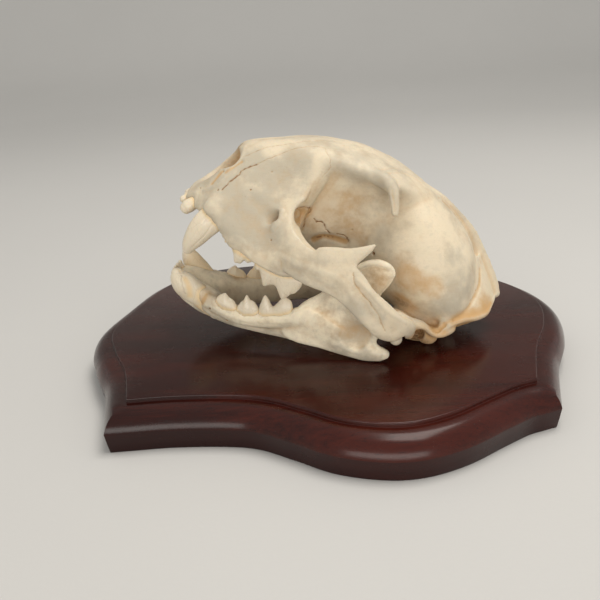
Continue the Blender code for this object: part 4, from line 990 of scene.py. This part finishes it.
def grow_cranium(settings):
    """The cranium with its cheek arches as one bone, in its own frame."""
    face, middle, dome = (mass(name) for name in SECTIONS)
    nape, plate, base = nape_plate(), nape_plate(), bar("base_of_skull")
    masses = [face, middle, dome, nape, base]
    details = [plate, bar("sagittal_crest")]
    for side in (LEFT, RIGHT):
        ridge, root, arch, brow = (bar(name, side) for name in (
            "alveolar_ridge", "arch_root", "arch", "postorbital_process"))
        masses += [ridge, root, bar("canine_root", side), ball("bulla", side),
                   ball("condyle_of_nape", side)]
        details += [arch, brow, bar("process_tip", side), ball("mastoid", side)]
        details += [bar(name, side) for name in (
            "cheek_process", "pterygoid", "postglenoid", "paroccipital", "suprameatal_crest", "nape_lip",
            "canine_root")]
        carve([face, middle, root, arch, ridge, brow], ball("eye_socket", side))
        carve([face, middle, root, arch, ridge], ball("eye_pocket", side))
        carve([face, middle, root, ridge], bar("canal", side))
    carve([face, middle], bar("nose"))
    carve([face], ball("nasal_notch", LEFT))
    for side in (LEFT, RIGHT):
        for y, curl, top, bottom in NOSE_PLATES[0 if side == LEFT else 1:]:
            path = [(x, y + curl * math.sin(x * 0.5), (top + bottom) / 2 + (x - NOSE_PLATE_ENDS[0]) * 0.15,
                     NOSE_PLATE_HALF, (top - bottom) / 2) for x in np.linspace(*NOSE_PLATE_ENDS, 8)]
            details.append(bar("nose_plate", side, path))
    carve([middle, dome, base], ball("throat"))
    carve([dome, nape, base, plate], ball("spine_opening"))
    core = grown("core", masses, settings.core_grain, settings.core_softening)
    whole = grown("cranium_shape", [core, *details], settings.core_grain * DETAIL_GRAIN, CRANIUM_ROUNDS)
    for side in (LEFT, RIGHT):
        carve([whole], ball("ear_opening", side))
        carve([whole], jaw_socket(side))
    return whole


def grow_jaw(side, settings):
    """One half of the lower jaw, in the jaw's own frame."""
    rings = []
    for x, inner, outer, bottom, top, lean in through(JAW_BODY, SPAN_STEPS):
        ring = []
        for corner in range(BAR_CORNERS):
            turn = 2 * math.pi * corner / BAR_CORNERS
            across, rise = (math.copysign(abs(part) ** bluntness, part) for part, bluntness in zip(
                (math.cos(turn), math.sin(turn)), JAW_BLUNTNESS))
            half = max((outer - inner - abs(lean) / 2) / 2, JAW_THINNEST)
            y = (inner + outer) / 2 + across * half + rise * lean / 2
            ring.append((x, side * max(y, inner), (bottom + top) / 2 + rise * (top - bottom) / 2))
        rings.append(ring)
    body = loft("jaw_body", rings)
    outline = through(RAMUS_OUTLINE, SPAN_STEPS, closed=True)
    start_x, start_y = RAMUS_START
    ramus = loft("ramus", [[(x, side * (start_y + RAMUS_SLOPE * (x - start_x) - RAMUS_LEAN * z + offset), z)
                            for x, z in outline] for offset in (-RAMUS_THICKNESS / 2, RAMUS_THICKNESS / 2)])
    carve([body, ramus], ball("chewing_muscle", side))
    pieces = [body, ramus, bar("tooth_row_ridge", side), bar("jaw_condyle", side)]
    return grown("jaw_shape", pieces, settings.core_grain * DETAIL_GRAIN, JAW_ROUNDS)


def upper_tooth_pieces():
    """The teeth of the upper jaw, both sides."""
    teeth = []
    for side in (LEFT, RIGHT):
        teeth += [bar("upper_canine", side), *(bar("upper_incisor", side, path) for path in UPPER_INCISORS),
                  bar("second_premolar", side),
                  *(blade("upper_blade", shape, side, -1) for shape in UPPER_BLADES),
                  bar("inner_cusp", side), bar("first_molar", side)]
    return teeth


def lower_tooth_pieces(side, canine):
    """The teeth of one half of the lower jaw."""
    return [bar(canine, side), *(bar("lower_incisor", side, path) for path in LOWER_INCISORS),
            *(blade("lower_blade", shape, side, 1) for shape in LOWER_BLADES)]


def grow_teeth(name, pieces, settings, sides, strokes, washes=()):
    """Teeth as one piece of several closed skins, each rounded on its own, with wear, stains and painted
    shade drawn on.
    """
    for tooth in pieces:
        rounded(tooth, settings.tooth_grain, TOOTH_ROUNDS)
    teeth = merged(name, pieces)
    skin = Skin(teeth)
    skin.sculpt(sides, strokes, washes)
    skin.write()
    return teeth


def offset_outline(points, distance):
    """A closed outline moved outwards by a distance, with mitred corners."""
    moved = []
    for index, here in enumerate(points):
        before, after = points[index - 1], points[(index + 1) % len(points)]
        first = (here - before) / np.linalg.norm(here - before)
        second = (after - here) / np.linalg.norm(after - here)
        normal = np.array((first[1] + second[1], -first[0] - second[0]))
        normal /= np.linalg.norm(normal)
        spread = normal @ np.array((first[1], -first[0]))
        moved.append(here + normal * distance / spread)
    return moved


def shape_board(settings):
    """The board, lofted from its foot over the moulding and the step to the raised field."""
    front = through((LEFT_CORNER, *FRONT_EDGE, RIGHT_CORNER), BOARD_STEPS)
    back = through((RIGHT_CORNER, *BACK_EDGE, LEFT_CORNER), BOARD_STEPS)
    outline = np.concatenate((front[:-1], back[:-1])) - np.array(PLAQUE_CENTRE)
    top = BOARD_TOP / MM
    step, width, rise = settings.step_width / MM, settings.ovolo_width / MM, settings.ovolo_height / MM
    level = top - settings.step_height / MM
    band, edge = level - rise, step + width
    foot = edge - settings.band_undercut / MM
    profile = [(foot + out, up) for out, up in BOARD_FOOT]
    profile += [((foot + edge) / 2, band / 2), (edge + BAND_TOP[0], band + BAND_TOP[1])]
    for count in range(OVOLO_STEPS + 1):
        turn = OVOLO_TURN * (1 - count / OVOLO_STEPS)
        fall = (math.cos(turn) - math.cos(OVOLO_TURN)) / (1 - math.cos(OVOLO_TURN))
        profile.append((step + width * math.sin(turn) / math.sin(OVOLO_TURN), band + rise * fall))
    profile += [(out, level + up) for out, up in FIELD_FOOT] + [(out, top + up) for out, up in FIELD_EDGE]
    board = loft("board", [[(x, y, z) for x, y in offset_outline(outline, out)] for out, z in profile])
    board.data.shade_smooth()
    board.data.set_sharp_from_angle(angle=SHARP_EDGE)
    return board


def pose_matrix(pose, lift):
    """Where a bone's frame comes to on the board."""
    tilt, pivot, (x, y, z) = pose
    spot = Vector((x - PLAQUE_CENTRE[0], y - PLAQUE_CENTRE[1], z)) * MM + Vector((0, 0, BOARD_TOP + lift))
    return (Matrix.Translation(spot) @ Matrix.Rotation(SKULL_TURN, 4, "Z")
            @ Matrix.Rotation(tilt, 4, "Y") @ Matrix.Translation(-Vector(pivot) * MM))


def settle(pieces, pose):
    """Sets pieces on the board so that their lowest point just clears it, and gives back how."""
    matrix = pose_matrix(pose, 0)
    lowest = min((numbers(piece.data.vertices, "co", 3) @ np.array(matrix)[2, :3]).min() + matrix[2][3]
                 for piece in pieces)
    matrix = pose_matrix(pose, BOARD_TOP + RESTING_GAP - lowest)
    for piece in pieces:
        piece.data.transform(matrix)
        piece.data.update()
    return matrix


class Shade:
    """A shader node's output, with the steps that the materials take from it."""

    def __init__(self, output):
        self.output = output

    def made(self, kind, inputs, output=0, **settings):
        """The output of a new node that this one leads to."""
        return Shade(node(self.output.id_data, kind, inputs, **settings).outputs[output])

    def maths(self, operation, other):
        """The result of one arithmetic step."""
        return self.made("Math", {0: self, 1: other}, operation=operation)

    def __add__(self, other):
        return self.maths("ADD", other)

    def __sub__(self, other):
        return self.maths("SUBTRACT", other)

    def __mul__(self, other):
        return self.maths("MULTIPLY", other)

    def ranged(self, low, high, to_low=0, to_high=1):
        """This value moved smoothly from one range to another."""
        return self.made("MapRange", {"Value": self, "From Min": low, "From Max": high, "To Min": to_low,
                                      "To Max": to_high}, interpolation_type="SMOOTHSTEP")

    def between(self, first, second):
        """A colour between two, with this value as the second one's share."""
        return self.made("Mix", {0: self, 6: first, 7: second}, 2, data_type="RGBA")

    def noise(self, scale, detail=3, roughness=0.55):
        """A noise value over this place."""
        return self.made("TexNoise", {"Vector": self, "Scale": scale, "Detail": detail,
                                      "Roughness": roughness}, "Fac")

    def stretched(self, *scale):
        """This place with its three axes scaled."""
        return self.made("Mapping", {"Vector": self, "Scale": scale})

    def bump(self, strength, distance):
        """The direction of a surface with this height."""
        return self.made("Bump", {"Height": self, "Strength": strength, "Distance": distance})


def feed(made, inputs):
    """Sets a node's inputs, each to a value or to another node's output."""
    for key, value in inputs.items():
        if isinstance(value, Shade):
            made.id_data.links.new(value.output, made.inputs[key])
        else:
            made.inputs[key].default_value = value
    return made


def node(tree, kind, inputs, **settings):
    """A new shader node with its settings and inputs."""
    made = tree.nodes.new("ShaderNode" + kind)
    for key, value in settings.items():
        setattr(made, key, value)
    return feed(made, inputs)


def place_in(tree):
    """The place on the object."""
    return Shade(node(tree, "TexCoord", {}).outputs["Object"])


def painted(tree, mask):
    """A painted mask of the mesh."""
    return Shade(node(tree, "Attribute", {}, attribute_name=mask).outputs["Fac"])


def rgba(colour):
    """A colour with full cover."""
    return (*colour, 1)


def old_bone_group():
    """Dry bone: mottled ivory and chalk, tan hollows, stains and painted shade, brown seams, pores and fine
    lengthwise striae.
    """
    name = "old_bone"
    if name in bpy.data.node_groups:
        return bpy.data.node_groups[name]
    tree = bpy.data.node_groups.new(name, "ShaderNodeTree")
    values = [mask.title() for mask in MASKS]
    for direction, kind, labels in (
            ("INPUT", "Color", ("Ivory", "Chalk", "Tan", "Seam")), ("INPUT", "Float", values),
            ("OUTPUT", "Color", ("Colour",)), ("OUTPUT", "Float", ("Roughness", "Height"))):
        for label in labels:
            tree.interface.new_socket(label, in_out=direction, socket_type="NodeSocket" + kind)
    given = tree.nodes.new("NodeGroupInput").outputs
    ivory, chalk, tan, seam = (Shade(given[label]) for label in ("Ivory", "Chalk", "Tan", "Seam"))
    line, stain, hollow, rubbed, grey_and_shade = (Shade(given[label]) for label in values)
    place = place_in(tree)
    patch = place.noise(75, 5, 0.62)
    grain = place.noise(420, 4, 0.6)
    striae = place.stretched(90, 900, 900).noise(1)
    cloud = place.noise(26) * 0.6 + patch * 0.4
    # More chalk where greyer bone and painted shade are washed on.
    colour = (cloud + grey_and_shade * 0.15).ranged(0.44, 0.62).between(ivory, chalk)
    colour = patch.ranged(0.46, 0.76, 0, 0.26).between(colour, tan)
    colour = place.noise(260, 4, 0.65).ranged(0.5, 0.72, 0, 0.3).between(colour, chalk)
    # Washed stains and painted shade, broken up into blotches, in tan.
    blotch = stain + (patch - 0.5) * 1.2
    colour = (blotch.ranged(0.1, 1) * stain.ranged(0, 0.3)).between(colour, tan)
    colour = (hollow * patch.ranged(0.25, 0.75, 0.3, 0.62)).between(colour, tan)
    pit_share = place.noise(1900, 2, 0.5).ranged(0.64, 0.76, 0, 0.3)
    colour = pit_share.between(colour, seam)
    colour = (rubbed * 0.35).between(colour, chalk)
    seam_share = (line * grain.ranged(0.3, 0.62, 0.55, 1.15)).ranged(0.18, 0.85)
    feed(tree.nodes.new("NodeGroupOutput"), {
        "Colour": seam_share.between(colour, seam),
        "Roughness": (patch + grain * 0.5).ranged(0.45, 1.1, 0.5, 0.74) - rubbed * 0.12,
        "Height": grain * 0.55 + striae * 0.45 - pit_share * 0.9 - seam_share * 0.6})
    return tree


def new_material(name):
    """A material with its tree and its shader."""
    material = bpy.data.materials.new(name)
    material.use_nodes = True
    return material, material.node_tree, material.node_tree.nodes["Principled BSDF"]


def bone_material(name, settings, ivory):
    """Dry bone with its seams and stains where they are painted."""
    material, tree, shader = new_material(name)
    inputs = {mask.title(): painted(tree, mask) for mask in MASKS}
    inputs.update(Ivory=rgba(ivory), Chalk=rgba(settings.chalk), Tan=rgba(settings.tan),
                  Seam=rgba(settings.seam_brown))
    effect = node(tree, "Group", {}, node_tree=old_bone_group())
    colour, roughness, height = (Shade(output) for output in feed(effect, inputs).outputs)
    feed(shader, {"Base Color": colour, "Roughness": roughness, "Normal": height.bump(0.6, 0.00045),
                  "Specular IOR Level": 0.35, "Subsurface Weight": 0.12, "Subsurface Scale": 0.5,
                  "Subsurface Radius": (0.004, 0.0022, 0.0012)})
    return material


def enamel_material(settings):
    """Glossy ivory enamel with hairline cracks, stained necks, worn dentine and the painted shade and light
    of the far teeth.
    """
    material, tree, shader = new_material("enamel")
    place = place_in(tree)
    brown = rgba(settings.seam_brown)
    stain, hollow, line = (painted(tree, mask) for mask in ("stain", "hollow", "line"))
    cloud = place.noise(210, 4)
    drift = place.made("TexNoise", {"Vector": place, "Scale": 160}, "Color")
    drift = drift.made("VectorMath", {0: drift, "Scale": 0.004}, operation="SCALE")
    bent = place.made("VectorMath", {0: place, 1: drift}, operation="ADD")
    crack = bent.made("TexVoronoi", {"Vector": bent.stretched(1, 1, 0.22), "Scale": 330}, "Distance",
                      feature="DISTANCE_TO_EDGE")
    hairline = crack.ranged(0, 0.03, 0.25, 0) * cloud.ranged(0.42, 0.6)
    colour = cloud.ranged(0.35, 0.75, 0, 0.35).between(rgba(settings.enamel), rgba(settings.ivory))
    neck = (stain + cloud * 0.4).ranged(0.6, 1.35) * 0.85
    colour = neck.between(colour, rgba(settings.dentine))
    colour = hollow.between(colour, rgba(settings.tan))
    colour = hairline.between(colour, brown)
    feed(shader, {"Base Color": line.ranged(0.2, 0.9).between(colour, brown),
                  "Roughness": (cloud + stain).ranged(0.4, 1.3, 0.24, 0.55),
                  "Normal": (place.noise(1500, 2) * 0.35 - hairline).bump(0.25, 0.0002),
                  "Specular IOR Level": 0.5, "Subsurface Weight": 0.15, "Subsurface Scale": 0.5,
                  "Subsurface Radius": (0.003, 0.002, 0.0012)})
    return material


def lacquer_material(settings):
    """Dark mahogany under gloss lacquer: pores along the grain, smudges, specks of dust, painted shadow on
    the band.
    """
    material, tree, shader = new_material("mahogany_lacquer")
    place = place_in(tree)
    broad = place.stretched(5, 26, 26).noise(1)
    grain = place.stretched(30, 480, 480).noise(1, 4, 0.65)
    pores = place.stretched(160, 2600, 2600).noise(1, 2)
    speck = place.made("TexVoronoi", {"Vector": place, "Scale": 620}, "Distance")
    dust = speck.ranged(0.03, 0.09, 0.5, 0) * place.noise(55, 2).ranged(0.5, 0.66)
    colour = (broad * 0.6 + grain * 0.4).ranged(0.38, 0.66).between(rgba(settings.mahogany),
                                                                    rgba(settings.cherry))
    dark = pores.ranged(0.56, 0.7, 0, 0.6)
    colour = dark.between(colour, PORE_COLOUR)
    level = place.made("SeparateXYZ", {"Vector": place}, "Z")
    # Painted shadow: the undercut band below the moulding is darkened, fading out just under the moulding.
    colour = level.ranged(*BAND_SHADOW_HEIGHTS, 0.7, 0).between(colour, PAINTED_BAND_SHADOW_COLOUR)
    height = place.noise(900, 2) * 0.5 + grain * 0.22 - dark * 0.5 + dust
    feed(shader, {"Base Color": dust.between(colour, DUST_COLOUR),
                  "Roughness": place.noise(38, 4, 0.6).ranged(0.35, 0.75, 0.2, 0.36) + dust,
                  "Normal": height.bump(0.22, 0.0003), "Specular IOR Level": 0.1,
                  "Coat Weight": 0.42, "Coat Roughness": 0.19})
    return material


def floor_material(colour):
    """Pale matt floor with faint mottling."""
    material, tree, shader = new_material("pale_floor")
    place = place_in(tree)
    darker = [value * 0.94 for value in colour]
    feed(shader, {"Base Color": place.noise(3, 4).between(rgba(colour), rgba(darker)),
                  "Normal": place.noise(500, 2).bump(0.1, 0.0005), "Roughness": 0.85})
    return material


def finish(piece, material, slot, *nodes):
    """Gives a piece its finish and hides the solids that it stands for; its slot is not used."""
    piece.data.materials.clear()
    piece.data.materials.append(material)
    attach(piece, "root")
    if nodes:
        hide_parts(*nodes)


class SKULL_OT_cranium(Operator):
    """Grows the cranium with its cheek arches and dresses it"""
    bl_idname = "skull.cranium"
    bl_label = "Cranium"

    def execute(self, context):
        settings = context.scene.skull_settings
        piece = refined("cranium_bone", grow_cranium(settings), settings, CRANIUM_SEED)
        skin = Skin(piece)
        for side in (LEFT, RIGHT):
            (x, y, z), radii = SOCKET_CORNER
            skin.soften((x, side * y, z), radii, CORNER_ROUNDS)
        skin.sculpt((LEFT, RIGHT), CRANIUM_STROKES, CRANIUM_WASHES)
        skin.sculpt((LEFT,), LEFT_STROKES, LEFT_WASHES)
        skin.weather()
        piece["pose"] = [value for row in settle([piece], CRANIUM_POSE) for value in row]
        finish(piece, bone_material("cranium_ivory", settings, settings.ivory), "bone",
               "cranium", "cheek_arch_left", "cheek_arch_right")
        return {"FINISHED"}


class SKULL_OT_upper_teeth(Operator):
    """Sets the teeth of the upper jaw into the cranium"""
    bl_idname = "skull.upper_teeth"
    bl_label = "Upper Teeth"

    def execute(self, context):
        settings = context.scene.skull_settings
        bone = bpy.data.objects["cranium_bone"]
        teeth = grow_teeth("upper_teeth", upper_tooth_pieces(), settings, (LEFT, RIGHT),
                           UPPER_TOOTH_STROKES)
        teeth.data.transform(Matrix(np.reshape(bone["pose"], (4, 4))))
        seat(bone, teeth)
        finish(teeth, enamel_material(settings), "bone")
        return {"FINISHED"}


class SKULL_OT_jaws(Operator):
    """Grows both halves of the lower jaw with their teeth and dresses them"""
    bl_idname = "skull.jaws"
    bl_label = "Lower Jaws"

    def execute(self, context):
        settings = context.scene.skull_settings
        bones, rows = [], []
        for side, word, canine, strokes, washes in (
                (LEFT, "left", "broken_canine", BREAK_STROKES, ()),
                (RIGHT, "right", "lower_canine", (), FAR_TOOTH_STAIN_AND_SHADE)):
            bone = refined(f"jaw_{word}_bone", grow_jaw(side, settings), settings, JAW_SEED + side)
            skin = Skin(bone)
            skin.sculpt((side,), JAW_STROKES, JAW_WASHES)
            skin.weather()
            teeth = grow_teeth(f"lower_teeth_{word}", lower_tooth_pieces(side, canine), settings, (side,),
                               strokes, washes)
            seat(bone, teeth)
            bones.append(bone)
            rows.append(teeth)
        settle([*bones, *rows], JAW_POSE)
        # The jaws' lighter ivory is painted light.
        bone_finish = bone_material("jaw_ivory_painted_light", settings, settings.jaw_ivory_painted_light)
        for bone, node_name in zip(bones, ("jaw_left", "jaw_right")):
            finish(bone, bone_finish, "jaw_bone", node_name)
        for teeth in rows:
            finish(teeth, bpy.data.materials["enamel"], "jaw_bone")
        return {"FINISHED"}


class SKULL_OT_board(Operator):
    """Shapes the moulded board and lacquers it"""
    bl_idname = "skull.board"
    bl_label = "Board"

    def execute(self, context):
        settings = context.scene.board_settings
        finish(shape_board(settings), lacquer_material(settings), "wood", "plaque")
        return {"FINISHED"}


class SKULL_OT_stage(Operator):
    """Sets up the pale floor, the soft light and the camera"""
    bl_idname = "skull.stage"
    bl_label = "Stage"

    def execute(self, context):
        settings = context.scene.stage_settings
        rows = through(FLOOR_SWEEP, FLOOR_STEPS)
        mesh = bpy.data.meshes.new("floor")
        corners = [(x, y, z) for y, z in rows for x in (-FLOOR_HALF_WIDTH, FLOOR_HALF_WIDTH)]
        mesh.from_pydata(corners, [], [(first, first + 1, first + 3, first + 2)
                                       for first in range(0, len(corners) - 2, 2)])
        mesh.materials.append(floor_material(settings.floor_colour))
        mesh.shade_smooth()
        linked("floor", mesh)
        world = bpy.data.worlds.new("soft_room")
        context.scene.world = world
        world.use_nodes = True
        feed(world.node_tree.nodes["Background"], {"Color": WORLD_COLOUR, "Strength": WORLD_STRENGTH})
        for name, place, size, power, colour in (
                ("key", KEY_PLACE, KEY_SIZE, settings.key_power, KEY_COLOUR),
                ("fill", FILL_PLACE, FILL_SIZE, settings.fill_power, FILL_COLOUR)):
            light = bpy.data.lights.new(name, "AREA")
            light.shape = "RECTANGLE"
            light.size, light.size_y = size
            light.energy = power
            light.color = colour
            lamp = linked(name, light)
            lamp.location = place
            lamp.rotation_euler = (Vector(SUBJECT) - Vector(place)).to_track_quat("-Z", "Y").to_euler()
        lens = bpy.data.cameras.new("camera")
        lens.lens = settings.lens
        lens.sensor_width = SENSOR_WIDTH
        lens.clip_start = NEAREST_SEEN
        camera = linked("camera", lens)
        camera.matrix_world = (Matrix.Translation(Vector(settings.camera_place))
                               @ Matrix.Rotation(math.pi / 2 - settings.camera_pitch, 4, "X")
                               @ Matrix.Rotation(settings.camera_roll, 4, "Z"))
        context.scene.camera = camera
        context.scene.view_settings.view_transform = "Standard"
        return {"FINISHED"}


class SKULL_PT_panel(Panel):
    """Lists the steps that build the skull"""
    bl_label = "Mounted Skull"
    bl_idname = "SKULL_PT_panel"
    bl_space_type = "VIEW_3D"
    bl_region_type = "UI"
    bl_category = "Skull"

    def draw(self, context):
        for step in STEPS:
            self.layout.operator(step.bl_idname)
        for holder in HOLDERS:
            box = self.layout.box()
            settings = getattr(context.scene, holder)
            for name in settings.__annotations__:
                box.prop(settings, name)


STEPS = (SKULL_OT_board, SKULL_OT_cranium, SKULL_OT_upper_teeth, SKULL_OT_jaws, SKULL_OT_stage)
HOLDERS = {
    "skull_settings": SkullSettings,
    "board_settings": BoardSettings,
    "stage_settings": StageSettings,
}
CLASSES = (*HOLDERS.values(), *STEPS, SKULL_PT_panel)


def register():
    """Registers the classes and the settings."""
    for kind in CLASSES:
        bpy.utils.register_class(kind)
    for name, kind in HOLDERS.items():
        setattr(bpy.types.Scene, name, PointerProperty(type=kind))


def unregister():
    """Removes the settings and the classes."""
    for name in HOLDERS:
        delattr(bpy.types.Scene, name)
    for kind in reversed(CLASSES):
        bpy.utils.unregister_class(kind)


def main():
    """Builds everything in order."""
    register()
    bpy.ops.skull.board()
    bpy.ops.skull.cranium()
    bpy.ops.skull.upper_teeth()
    bpy.ops.skull.jaws()
    bpy.ops.skull.stage()


if __name__ == "__main__":
    main()
